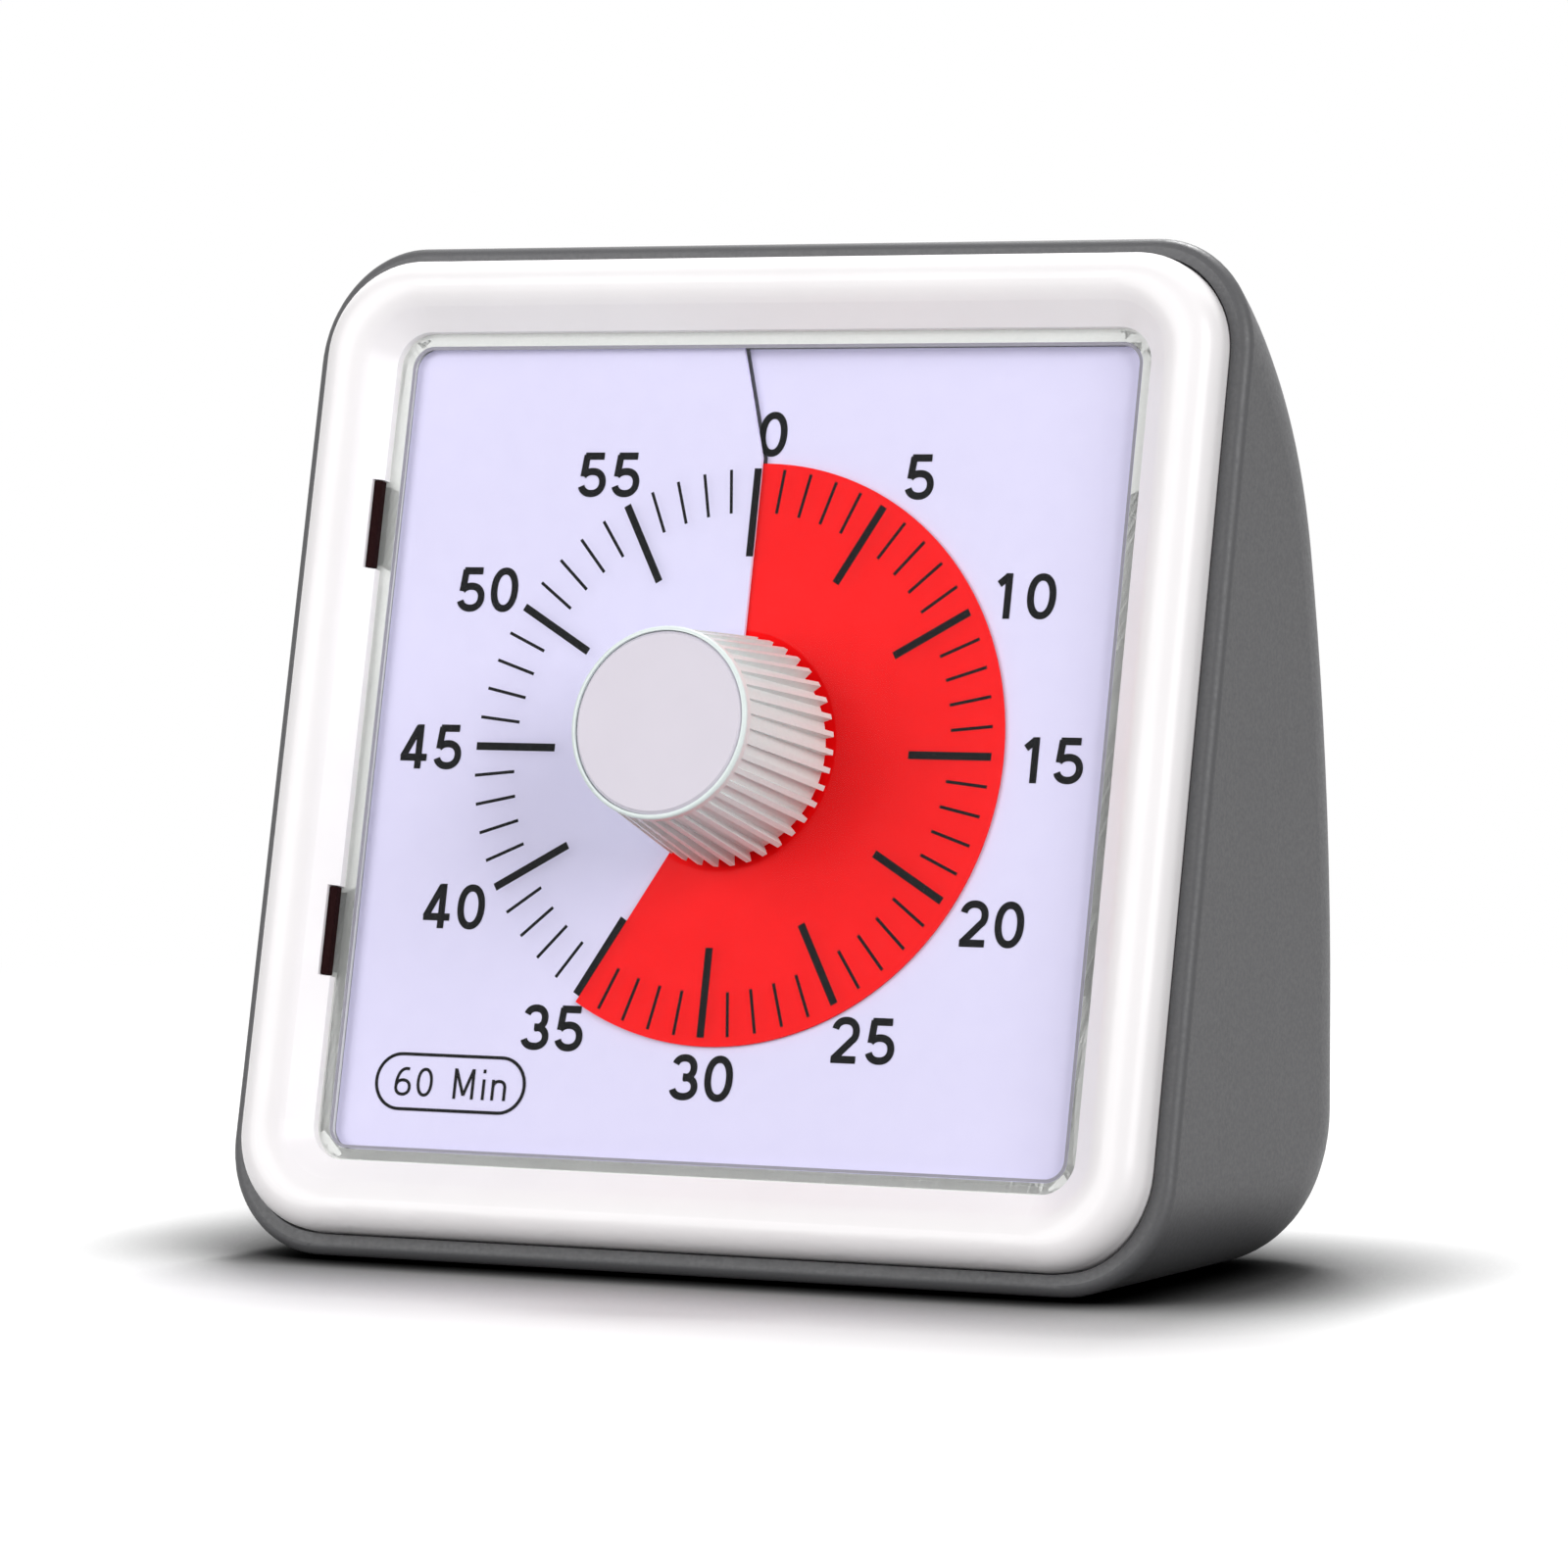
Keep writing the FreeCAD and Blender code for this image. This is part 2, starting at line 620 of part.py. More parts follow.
def battery_door():
    """Return the door, a piece of the case's skin with two lips and finger ribs."""
    half = BAY_LENGTH / 2 - DOOR_GAP
    low = (-half, BASE_DEPTH / 2, BAY_FLOOR + DOOR_GAP)
    high = (half, 2 * BASE_DEPTH, BAY_TOP - DOOR_GAP)
    plate = skin(WALL, low, high)
    pieces = [plate]
    y = BASE_DEPTH - WALL
    for side in (-1, 1):
        x = side * DOOR_LIP_X
        lip_low = (x - DOOR_LIP_WIDTH / 2, y - BAY_WALL, BAY_FLOOR - DOOR_LIP + DOOR_GAP)
        lip_high = (x + DOOR_LIP_WIDTH / 2, y - DOOR_GAP, BAY_FLOOR + 2 * BAY_WALL)
        pieces.append(box(lip_low, lip_high))
        neck_low = (lip_low[0], y - DOOR_GAP, BAY_FLOOR + DOOR_GAP)
        neck_high = (lip_high[0], y + DOOR_GAP, BAY_FLOOR + 2 * BAY_WALL)
        pieces.append(box(neck_low, neck_high))
    door = join(pieces)
    grooves = []
    for index in range(GRIP_COUNT):
        z = BAY_TOP - GRIP_MARGIN - index * GRIP_PITCH
        low = (-GRIP_WIDTH / 2, BASE_DEPTH - GRIP_DEPTH, z - GRIP_HEIGHT)
        grooves.append(box(low, (GRIP_WIDTH / 2, 2 * BASE_DEPTH, z)))
    return door.cut(grooves)


def cell():
    """Return the AA cell, its nub towards +x, with rounded can edges."""
    start = -CELL_LENGTH / 2 - CELL_NUB_LENGTH / 2
    can = Part.makeCylinder(CELL_RADIUS, CELL_LENGTH, Vector(start, CELL_Y, CELL_Z), Vector(1, 0, 0))
    rims = [edge for edge in can.Edges if type(edge.Curve).__name__ == "Circle"]
    can = can.makeFillet(CELL_EDGE, rims)
    nub_start = Vector(start + CELL_LENGTH - TOUCH, CELL_Y, CELL_Z)
    nub = Part.makeCylinder(CELL_NUB_RADIUS, CELL_NUB_LENGTH + TOUCH, nub_start, Vector(1, 0, 0))
    return can.fuse(nub)


def leaf_contact(side):
    """Return a bowed leaf contact at one end of the bay, side +1 or -1."""
    wall = side * BAY_LENGTH / 2
    tip = side * (BAY_LENGTH / 2 - CONTACT_BOW)
    t = CONTACT_THICKNESS
    low = CELL_Z - CELL_RADIUS + CELL_EDGE
    high = CELL_Z + CELL_RADIUS - CELL_EDGE
    outer = [(wall, low), (wall, high)]
    step = (high - low) / 4
    inner = [(wall - side * t, high), (wall - side * t, high - step), (tip - side * t, CELL_Z + step / 2)]
    inner += [(tip - side * t, CELL_Z - step / 2), (wall - side * t, low + step), (wall - side * t, low)]
    points = [Vector(x, CELL_Y - CONTACT_WIDTH / 2, z) for x, z in outer + inner]
    body = Part.Face(Part.makePolygon(points + [points[0]])).extrude(Vector(0, CONTACT_WIDTH, 0))
    hollow = [(wall, low + step), (wall, high - step)]
    hollow += [(tip, CELL_Z + step / 2 - t), (tip, CELL_Z - step / 2 + t)]
    points = [Vector(x, CELL_Y - CONTACT_WIDTH / 2, z) for x, z in hollow]
    room = Part.Face(Part.makePolygon(points + [points[0]])).extrude(Vector(0, CONTACT_WIDTH, 0))
    return body.cut(room)


# Volume switch

def switch_room():
    """Return the recess, the stem slot and the body pocket of the switch."""
    half = SWITCH_RECESS_WIDTH / 2
    tall = SWITCH_RECESS_HEIGHT / 2
    deep = SWITCH_FACE_Y - SWITCH_RECESS_DEPTH
    recess = box((-half, deep, SWITCH_HEIGHT - tall), (half, 2 * BASE_DEPTH, SWITCH_HEIGHT + tall))
    slot_half = SLIDER_STEM / 2 + SWITCH_TRAVEL / 2 + DOOR_GAP
    slot_low = (-slot_half, SWITCH_FRONT, SWITCH_HEIGHT - SLIDER_STEM / 2 - DOOR_GAP)
    slot = box(slot_low, (slot_half, 2 * BASE_DEPTH, SWITCH_HEIGHT + SLIDER_STEM / 2 + DOOR_GAP))
    body_half = SWITCH_BODY_WIDTH / 2 + SEAT_GAP
    body_tall = SWITCH_BODY_HEIGHT / 2 + SEAT_GAP
    low = (-body_half, SWITCH_FRONT - OVERRUN, SWITCH_HEIGHT - body_tall)
    pocket = box(low, (body_half, SWITCH_SEAT, SWITCH_HEIGHT + body_tall))
    return recess.fuse([slot, pocket])


def switch_body():
    """Return the slide switch behind the case wall."""
    half = SWITCH_BODY_WIDTH / 2
    tall = SWITCH_BODY_HEIGHT / 2
    low = (-half, SWITCH_FRONT, SWITCH_HEIGHT - tall)
    body = box(low, (half, SWITCH_SEAT, SWITCH_HEIGHT + tall))
    slot_half = SLIDER_STEM / 2 + SWITCH_TRAVEL / 2 + DOOR_GAP
    slot_front = SWITCH_SEAT - SWITCH_BODY_DEPTH / 2
    slot_low = (-slot_half, slot_front, SWITCH_HEIGHT - SLIDER_STEM / 2 - DOOR_GAP)
    slot = box(slot_low, (slot_half, BASE_DEPTH, SWITCH_HEIGHT + SLIDER_STEM / 2 + DOOR_GAP))
    return body.cut(slot)


def switch_slider():
    """Return the thumb slider at the low volume end of its slot."""
    x = -SWITCH_TRAVEL / 2
    deep = SWITCH_FACE_Y - SWITCH_RECESS_DEPTH + DOOR_GAP
    half = SLIDER_WIDTH / 2
    tall = SLIDER_HEIGHT / 2
    top = SWITCH_FACE_Y + SLIDER_PROUD
    cap = box((x - half, deep, SWITCH_HEIGHT - tall), (x + half, top, SWITCH_HEIGHT + tall))
    stem_front = SWITCH_SEAT - SWITCH_BODY_DEPTH / 2 + DOOR_GAP
    stem_low = (x - SLIDER_STEM / 2, stem_front, SWITCH_HEIGHT - SLIDER_STEM / 2)
    stem = box(stem_low, (x + SLIDER_STEM / 2, deep, SWITCH_HEIGHT + SLIDER_STEM / 2))
    slider = cap.fuse(stem).removeSplitter()
    grooves = []
    for index in range(SLIDER_RIDGES):
        centre = x + (index - (SLIDER_RIDGES - 1) / 2) * 2 * SLIDER_RIDGE_WIDTH
        low = (centre - SLIDER_RIDGE_WIDTH / 2, top - SLIDER_PROUD, SWITCH_HEIGHT - 2 * tall)
        high = (centre + SLIDER_RIDGE_WIDTH / 2, 2 * BASE_DEPTH, SWITCH_HEIGHT + 2 * tall)
        grooves.append(box(low, high))
    return slider.cut(grooves)


def sounder():
    """Return the piezo sounder in its case, with its sound port to the back."""
    body = back_rod(SOUNDER_RADIUS, 0, SOUNDER_HEIGHT, SOUNDER_SEAT - SOUNDER_THICKNESS, SOUNDER_SEAT)
    port_front = SOUNDER_SEAT - SOUNDER_THICKNESS / 2
    return body.cut(back_rod(SOUNDER_PORT_RADIUS, 0, SOUNDER_HEIGHT, port_front, BASE_DEPTH))


def screw(shank, head, length):
    """Return a pan head screw along -w with the underside of its head at w = 0."""
    cap = rod(head, 0, SCREW_HEAD_HEIGHT)
    top = [edge for edge in cap.Edges if edge.BoundBox.ZMin > SCREW_HEAD_HEIGHT / 2]
    cap = cap.makeFillet(SCREW_HEAD_HEIGHT / 2, top)
    long = head * RECESS_SHARE
    half = RECESS_WIDTH / 2
    deep = SCREW_HEAD_HEIGHT - RECESS_DEPTH
    cross = [box((-long, -half, deep), (long, half, head)), box((-half, -long, deep), (half, long, head))]
    cap = cap.cut(cross)
    return cap.fuse(rod(shank, -length, TOUCH))


def case_screws():
    """Return the four long screws at the bottom of the wells."""
    made = []
    for x, z in well_spots():
        one = screw(CASE_SHANK, CASE_HEAD, CASE_SCREW_LENGTH)
        floor = post_end_y(z) + SEAT_GAP + WELL_FLOOR
        one.Placement = Placement(Vector(x, floor, z), Rotation(Vector(1, 0, 0), -90))
        made.append(one)
    return made


def from_behind(shape, u, v, w):
    """Turn a screw so that it enters from the back, its head seated at w."""
    turned = shape.copy()
    turned.Placement = Placement(Vector(u, v, w), Rotation(Vector(1, 0, 0), 180))
    return turned


# Front pieces, all in the dial frame

def bezel_screw_spots():
    """Return u and v of the screws that hold the bezel to the dial frame."""
    u = FRAME_WIDTH / 2 - BEZEL_SCREW_INSET
    v = FRAME_HEIGHT / 2 - BEZEL_SCREW_INSET
    return [(su * u, sv * v) for su in (-1, 1) for sv in (-1, 1)]


def tab_spots():
    """Return the side and v of the lens tabs and their slots."""
    return [(side, SLOT_OFFSET + sv * SLOT_PITCH / 2) for side in (-1, 1) for sv in (-1, 1)]


def front_bezel():
    """Return the white bezel with its crowned face, sloping brow and lens slots."""
    flange_back = -RIM_SETBACK - BEZEL_FLANGE
    bezel = rounded_block(BEZEL_WIDTH, BEZEL_HEIGHT, BEZEL_CORNER, flange_back, BEZEL_CROWN)
    inner_width = FRAME_WIDTH + 2 * SEAT_GAP
    inner_height = FRAME_HEIGHT + 2 * SEAT_GAP
    inner_corner = FRAME_CORNER + SEAT_GAP
    wall = 2 * BEZEL_SKIRT_WALL
    skirt = rounded_block(inner_width + wall, inner_height + wall, inner_corner + BEZEL_SKIRT_WALL,
                          -BEZEL_SKIRT_DEPTH, flange_back + TOUCH)
    bezel = bezel.fuse(skirt)
    open_width = WINDOW_WIDTH + 2 * LEDGE_WIDTH
    open_height = WINDOW_HEIGHT + 2 * LEDGE_WIDTH
    open_corner = WINDOW_CORNER + LEDGE_WIDTH
    window = rounded_block(open_width, open_height, open_corner, -BEZEL_SKIRT_DEPTH, 2 * BEZEL_CROWN)
    room = rounded_block(inner_width, inner_height, inner_corner, -2 * BEZEL_SKIRT_DEPTH, -LEDGE_DEPTH)
    bezel = bezel.cut([window, room])
    slope_drop = BEZEL_CROWN + BEZEL_SLOPE_END
    bezel = bezel.makeChamfer(BEZEL_SLOPE_WIDTH, slope_drop, window_edges(bezel))
    bezel = bezel.makeFillet(BEZEL_BROW_RADIUS, window_edges(bezel))
    bezel = bezel.makeFillet(BEZEL_EDGE_RADIUS, crown_face(bezel).OuterWire.Edges)
    cuts = []
    for side, v in tab_spots():
        near = side * (open_width / 2 - SLOT_DEPTH)
        far = side * (open_width / 2 + SLOT_DEPTH)
        low = (min(near, far), v - SLOT_LENGTH / 2, -LEDGE_DEPTH - TOUCH)
        # On the left the slots are open to the front, on the right they stop under the slope.
        top = BEZEL_CROWN if side < 0 else -BEZEL_SLOPE_END - HOOK_COVER
        cuts.append(box(low, (max(near, far), v + SLOT_LENGTH / 2, top)))
    pilot = BEZEL_SCREW_SHANK + RUNNING_GAP
    for u, v in bezel_screw_spots():
        cuts.append(rod(pilot, -LEDGE_DEPTH - OVERRUN, -LEDGE_DEPTH + BEZEL_SCREW_BITE, u, v))
    return bezel.cut(cuts)


def crown_face(bezel):
    """Return the flat face on top of the bezel."""
    flat = [face for face in bezel.Faces if abs(face.BoundBox.ZMin - BEZEL_CROWN) < TOUCH]
    return flat[0]


def window_edges(bezel):
    """Return the inner edges of the flat face on top of the bezel."""
    crown = crown_face(bezel)
    outer = crown.OuterWire.Edges
    return [edge for edge in crown.Edges if not any(edge.isSame(other) for other in outer)]


def lens():
    """Return the clear lens with its knob hole and four side tabs."""
    width = WINDOW_WIDTH + 2 * (LEDGE_WIDTH - SEAT_GAP)
    height = WINDOW_HEIGHT + 2 * (LEDGE_WIDTH - SEAT_GAP)
    top = -LEDGE_DEPTH + LENS_THICKNESS
    plate = rounded_block(width, height, WINDOW_CORNER + LEDGE_WIDTH - SEAT_GAP, -LEDGE_DEPTH, top)
    tabs = []
    for side, v in tab_spots():
        near = side * (width / 2 - LEDGE_WIDTH)
        far = side * (width / 2 + TAB_REACH)
        low = (min(near, far), v - TAB_LENGTH / 2, -LEDGE_DEPTH)
        tabs.append(box(low, (max(near, far), v + TAB_LENGTH / 2, TAB_THICKNESS - LEDGE_DEPTH)))
    return join([plate] + tabs).cut(rod(KNOB_RIB_RADIUS + FREE_GAP, -REACH, REACH))


def ear_spots():
    """Return u and v of the screws that hold the movement."""
    u = MOVEMENT_WIDTH / 2 + EAR_REACH / 2
    return [(su * u, MOVEMENT_V + sv * EAR_SPACING / 2) for su in (-1, 1) for sv in (-1, 1)]


def dial_frame():
    """Return the light grey frame: ledge, card posts, movement and case screw posts."""
    frame = rounded_block(FRAME_WIDTH, FRAME_HEIGHT, FRAME_CORNER, FRAME_BACK, -LEDGE_DEPTH)
    room = rounded_block(WINDOW_WIDTH, WINDOW_HEIGHT, WINDOW_CORNER, -FRAME_FLOOR, 0)
    frame = frame.cut([room, rod(HUB_FLANGE_RADIUS + FREE_GAP, 2 * FRAME_BACK, 0)])
    posts = []
    for index in range(CARD_POST_COUNT):
        angle = TURN * (index + 0.5) / CARD_POST_COUNT
        top = card_level(angle) - CARD_THICKNESS / 2 - RUNNING_GAP
        turn = math.radians(angle)
        u = CARD_POST_CIRCLE * math.sin(turn)
        v = CARD_POST_CIRCLE * math.cos(turn)
        posts.append(rod(CARD_POST_RADIUS, -FRAME_FLOOR - TOUCH, top, u, v))
    for u, v in ear_spots():
        posts.append(rod(EAR_POST_RADIUS, FRAME_BACK - EAR_STANDOFF, FRAME_BACK + TOUCH, u, v))
    frame = in_case(frame.multiFuse(posts))
    ahead_of_frame = ahead(FRAME_BACK + TOUCH)
    for x, z in well_spots():
        post = back_rod(POST_RADIUS, x, z, frame_back_y(z) - 2 * POST_RADIUS, post_end_y(z))
        frame = frame.fuse(post.cut(ahead_of_frame))
    cuts = []
    for x, z in well_spots():
        pilot_end = post_end_y(z) + WELL_FLOOR - CASE_SCREW_LENGTH - SEAT_GAP
        cuts.append(back_rod(CASE_SHANK + RUNNING_GAP, x, z, pilot_end, BASE_DEPTH))
    for u, v in ear_spots():
        low = FRAME_BACK - EAR_STANDOFF - TOUCH
        pilot = rod(SMALL_SHANK + RUNNING_GAP, low, FRAME_BACK, u, v)
        cuts.append(in_case(pilot))
    for u, v in bezel_screw_spots():
        cuts.append(in_case(rod(BEZEL_SCREW_SHANK + SEAT_GAP, FRAME_BACK - OVERRUN, 0, u, v)))
    return frame.cut(cuts)


def bezel_screws():
    """Return the four small screws through the dial frame into the bezel."""
    length = -LEDGE_DEPTH - FRAME_BACK + BEZEL_SCREW_BITE - SEAT_GAP
    one = screw(BEZEL_SCREW_SHANK, BEZEL_SCREW_HEAD, length)
    return [from_behind(one, u, v, FRAME_BACK) for u, v in bezel_screw_spots()]


# Dial card and red film

def card_level(angle):
    """Return the card's middle level at a clockwise angle from the zero mark."""
    return CARD_MID + WIND_PITCH * angle / TURN


def wound_sheet(inner, reach, angles, level, thickness):
    """Return a sheet wound as a shallow screw about w, angles clockwise from the top."""
    wires = []
    for angle in angles:
        turn = math.radians(angle)
        outer = reach(turn)
        corners = []
        for radius, side in ((inner, -1), (outer, -1), (outer, 1), (inner, 1)):
            height = level(angle) + side * thickness / 2
            corners.append(Vector(radius * math.sin(turn), radius * math.cos(turn), height))
        wires.append(Part.makePolygon(corners + [corners[0]]))
    return Part.makeLoft(wires, True, True)


def even_angles(start, end):
    """Return evenly stepped angles from start to end."""
    count = round((end - start) / WIND_STEP)
    return [start + (end - start) * index / count for index in range(count + 1)]


def prism(outline, low, high):
    """Return a straight prism over u, v points between two w levels."""
    points = [Vector(u, v, low) for u, v in outline]
    return Part.Face(Part.makePolygon(points + [points[0]])).extrude(Vector(0, 0, high - low))


def dial_card():
    """Return the card, slit from its hole past the disc and slanting on to its top edge."""
    reach = WINDOW_WIDTH
    half_width = WINDOW_WIDTH / 2
    half_height = WINDOW_HEIGHT / 2
    overlap = math.degrees(math.atan2(SLIT_TOP_OFFSET, half_height)) + SLIT_MARGIN
    corner = math.degrees(math.atan2(half_width, half_height))
    angles = [-overlap] + even_angles(0, corner) + even_angles(corner, TURN / 2 - corner)[1:]
    angles += even_angles(TURN / 2 - corner, TURN / 2 + corner)[1:]
    angles += even_angles(TURN / 2 + corner, TURN - corner)[1:] + even_angles(TURN - corner, TURN)[1:]

    def edge_reach(turn):
        """Return the distance to the window's edge in a direction."""
        across = max(abs(math.sin(turn)) / half_width, abs(math.cos(turn)) / half_height)
        return 1 / across

    sheet = wound_sheet(HUB_RADIUS, edge_reach, angles, card_level, CARD_THICKNESS)
    outline = rounded_block(WINDOW_WIDTH - SEAT_GAP, WINDOW_HEIGHT - SEAT_GAP, WINDOW_CORNER, -REACH, 0)
    middle = CARD_MID + WIND_PITCH / 2
    bend = FILM_RADIUS + FREE_GAP
    top = WINDOW_HEIGHT
    slant = SLIT_TOP_OFFSET * (top - bend) / (half_height - bend)
    gap = SLIT_WIDTH / 2
    slit = [(0, 0), (0, bend), (-slant, top)]
    low_cut = prism([(u + gap, v) for u, v in slit] + [(-reach, top), (-reach, 0)], -REACH, middle)
    high_cut = prism([(u - gap, v) for u, v in slit] + [(reach, top), (reach, 0)], middle, 0)
    return sheet.common(outline).cut([low_cut, high_cut, rod(CARD_HOLE_RADIUS, -REACH, 0)])


def film_level(angle):
    """Return the film's middle level, a little in front of the card it covers."""
    return card_level(angle) + WIND_HALF


def red_disc():
    """Return the red film, its leading edge at the set minutes."""
    start = SET_ANGLE - TURN + FILM_OPENING
    angles = even_angles(start, SET_ANGLE)
    sheet = wound_sheet(FILM_BORE - FREE_GAP, film_reach, angles, film_level, FILM_THICKNESS)
    return sheet.common(rod(FILM_RADIUS, -REACH, 0).cut(rod(FILM_BORE, -REACH, 0)))


def film_reach(turn):
    """Return the radius that the film is trimmed from."""
    return FILM_RADIUS + FREE_GAP


# Knob

def knob_radius(w, foot_radius, front_radius):
    """Return a radius on the knob's taper at a w level."""
    share = (w - KNOB_FOOT) / (KNOB_REACH - KNOB_BAND - KNOB_FOOT)
    return foot_radius + (front_radius - foot_radius) * share


def knob():
    """Return the ribbed knob with its inner boss, front web and cap recess."""
    cap_seat = KNOB_REACH - CAP_THICKNESS
    web = cap_seat - SCREW_HEAD_HEIGHT - SEAT_GAP
    crest_start = KNOB_REACH - KNOB_BAND
    groove_radius = KNOB_FRONT_RADIUS - KNOB_GROOVE
    body = cone(KNOB_BASE_RADIUS, groove_radius, KNOB_FOOT, crest_start)
    rim = rod(KNOB_FRONT_RADIUS, crest_start, KNOB_REACH)
    front = [edge for edge in rim.Edges if edge.BoundBox.ZMin > KNOB_REACH - TOUCH]
    rim = rim.makeFillet(CAP_CHAMFER, front)
    ribs = [rim]
    foot = KNOB_FOOT + KNOB_RIB_FOOT
    outline = [(knob_radius(foot, KNOB_BASE_RADIUS, groove_radius) - KNOB_RIB_WIDTH, foot)]
    outline.append((KNOB_RIB_RADIUS, foot))
    outline.append((KNOB_FRONT_RADIUS, crest_start))
    outline.append((groove_radius - KNOB_RIB_WIDTH, crest_start))
    points = [Vector(r, -KNOB_RIB_WIDTH / 2, w) for r, w in outline]
    rib = Part.Face(Part.makePolygon(points + [points[0]])).extrude(Vector(0, KNOB_RIB_WIDTH, 0))
    for index in range(KNOB_RIB_COUNT):
        one = rib.copy()
        one.rotate(Vector(0, 0, 0), Vector(0, 0, 1), TURN * index / KNOB_RIB_COUNT)
        ribs.append(one)
    body = body.multiFuse(ribs)
    room_top = web - KNOB_WALL
    low_room = KNOB_BASE_RADIUS - KNOB_WALL
    top_room = knob_radius(room_top, KNOB_BASE_RADIUS, groove_radius) - KNOB_WALL
    room = cone(low_room, top_room, KNOB_FOOT, room_top).cut(rod(KNOB_BOSS_RADIUS, KNOB_FOOT, KNOB_REACH))
    cuts = [room, rod(CAP_RADIUS + RUNNING_GAP, cap_seat, 2 * KNOB_REACH)]
    cuts.append(rod(KNOB_SCREW_HEAD + SEAT_GAP, web, KNOB_REACH))
    cuts.append(rod(KNOB_SCREW_SHANK + SEAT_GAP, 0, KNOB_REACH))
    cuts.append(rod(SHAFT_RADIUS + RUNNING_GAP / 2, 2 * KNOB_FOOT, SHAFT_TOP))
    return body.cut(cuts)


def knob_cap():
    """Return the flat cap that closes the front of the knob."""
    cap = rod(CAP_RADIUS, KNOB_REACH - CAP_THICKNESS, KNOB_REACH)
    front = [edge for edge in cap.Edges if edge.BoundBox.ZMin > KNOB_REACH - TOUCH]
    return cap.makeChamfer(CAP_CHAMFER, front)


def knob_screw():
    """Return the screw that holds the knob on the shaft."""
    one = screw(KNOB_SCREW_SHANK, KNOB_SCREW_HEAD, KNOB_SCREW_LENGTH)
    one.translate(Vector(0, 0, KNOB_REACH - CAP_THICKNESS - SCREW_HEAD_HEIGHT - SEAT_GAP))
    return one


def disc_hub():
    """Return the hub that the film turns on, with its rear flange."""
    back = MOVEMENT_FRONT + FREE_GAP
    barrel = rod(HUB_RADIUS, back, KNOB_FOOT)
    flange = rod(HUB_FLANGE_RADIUS, back, back + HUB_FLANGE_THICKNESS)
    return join([barrel, flange]).cut(rod(SHAFT_RADIUS + RUNNING_GAP / 2, 2 * back, KNOB_REACH))


def centre_shaft():
    """Return the knob shaft, down to its bearing in the movement's rear wall."""
    end = MOVEMENT_BACK + MOVEMENT_WALL / 2
    collar_front = wheel_level(0) - WHEEL_THICKNESS - RUNNING_GAP
    collar = rod(COLLAR_RADIUS, collar_front - COLLAR_THICKNESS, collar_front)
    shaft = join([rod(SHAFT_RADIUS, end, SHAFT_TOP), collar])
    return shaft.cut(rod(KNOB_SCREW_SHANK + RUNNING_GAP / 2, SHAFT_TOP - KNOB_SCREW_LENGTH, KNOB_REACH))


# Gear train

def wheel_level(index):
    """Return the w of the front face of a wheel, counted from the centre wheel."""
    return CAVITY_FRONT - LEVEL_FIRST - index * LEVEL_PITCH


def arbor_spots():
    """Return u, v of the third, second, intermediate and rotor arbors."""
    leaves = PINION_LEAVES
    steps = [
        ("third", CENTRE_TEETH + leaves, THIRD_BEARING),
        ("second", THIRD_TEETH + leaves, SECOND_BEARING),
        ("intermediate", SECOND_TEETH + leaves, INTERMEDIATE_BEARING),
        ("rotor", INTERMEDIATE_TEETH + leaves, ROTOR_BEARING),
    ]
    spots = {}
    u = 0.0
    v = 0.0
    for name, teeth, bearing in steps:
        reach = MODULE * teeth / 2
        u += reach * math.cos(math.radians(bearing))
        v += reach * math.sin(math.radians(bearing))
        spots[name] = (u, v)
    return spots


def gear(teeth, back, front, spot, phase):
    """Return a spur gear with a tooth centred at the phase angle."""
    pitch_radius = MODULE * teeth / 2
    tip_radius = pitch_radius + TOOTH_HEIGHT * MODULE
    root_radius = pitch_radius - TOOTH_DEPTH * MODULE
    slope = (TOOTH_SHARE - TIP_SHARE) / TOOTH_HEIGHT
    root_share = TOOTH_SHARE + slope * TOOTH_DEPTH
    step = math.radians(TURN / teeth)
    flank = [(-root_share, root_radius), (-TIP_SHARE, tip_radius)]
    flank += [(TIP_SHARE, tip_radius), (root_share, root_radius)]
    points = []
    for index in range(teeth):
        for share, radius in flank:
            angle = math.radians(phase) + step * (index + share / 2)
            points.append(Vector(radius * math.cos(angle), radius * math.sin(angle), back))
    body = Part.Face(Part.makePolygon(points + [points[0]])).extrude(Vector(0, 0, front - back))
    body.translate(Vector(spot[0], spot[1], 0))
    return body


def arbor(spot):
    """Return a plain arbor with a pivot at each end."""
    low = CAVITY_BACK + END_SHAKE
    high = CAVITY_FRONT - END_SHAKE
    body = rod(ARBOR_RADIUS, low, high, *spot)
    return body.fuse(rod(PIVOT_RADIUS, low - PIVOT_LENGTH, high + PIVOT_LENGTH, *spot))


def pinion_gear(level, spot, bearing):
    """Return a pinion across a wheel level, with a gap facing back along the bearing."""
    middle = wheel_level(level) - WHEEL_THICKNESS / 2
    phase = bearing + 180 + TURN / PINION_LEAVES / 2
    return gear(PINION_LEAVES, middle - PINION_LENGTH / 2, middle + PINION_LENGTH / 2, spot, phase)


def train_wheel(teeth, level, spot, from_bearing, to_bearing):
    """Return a train wheel: arbor, pinion that it is driven through, and wheel."""
    front = wheel_level(level)
    wheel = gear(teeth, front - WHEEL_THICKNESS, front, spot, to_bearing)
    return join([arbor(spot), pinion_gear(level - 1, spot, from_bearing), wheel])


def centre_wheel():
    """Return the centre wheel, free on the knob shaft between collar and clutch spring."""
    front = wheel_level(0)
    wheel = gear(CENTRE_TEETH, front - WHEEL_THICKNESS, front, (0, 0), THIRD_BEARING)
    return wheel.cut(rod(SHAFT_RADIUS + RUNNING_GAP, 2 * MOVEMENT_BACK, 0))


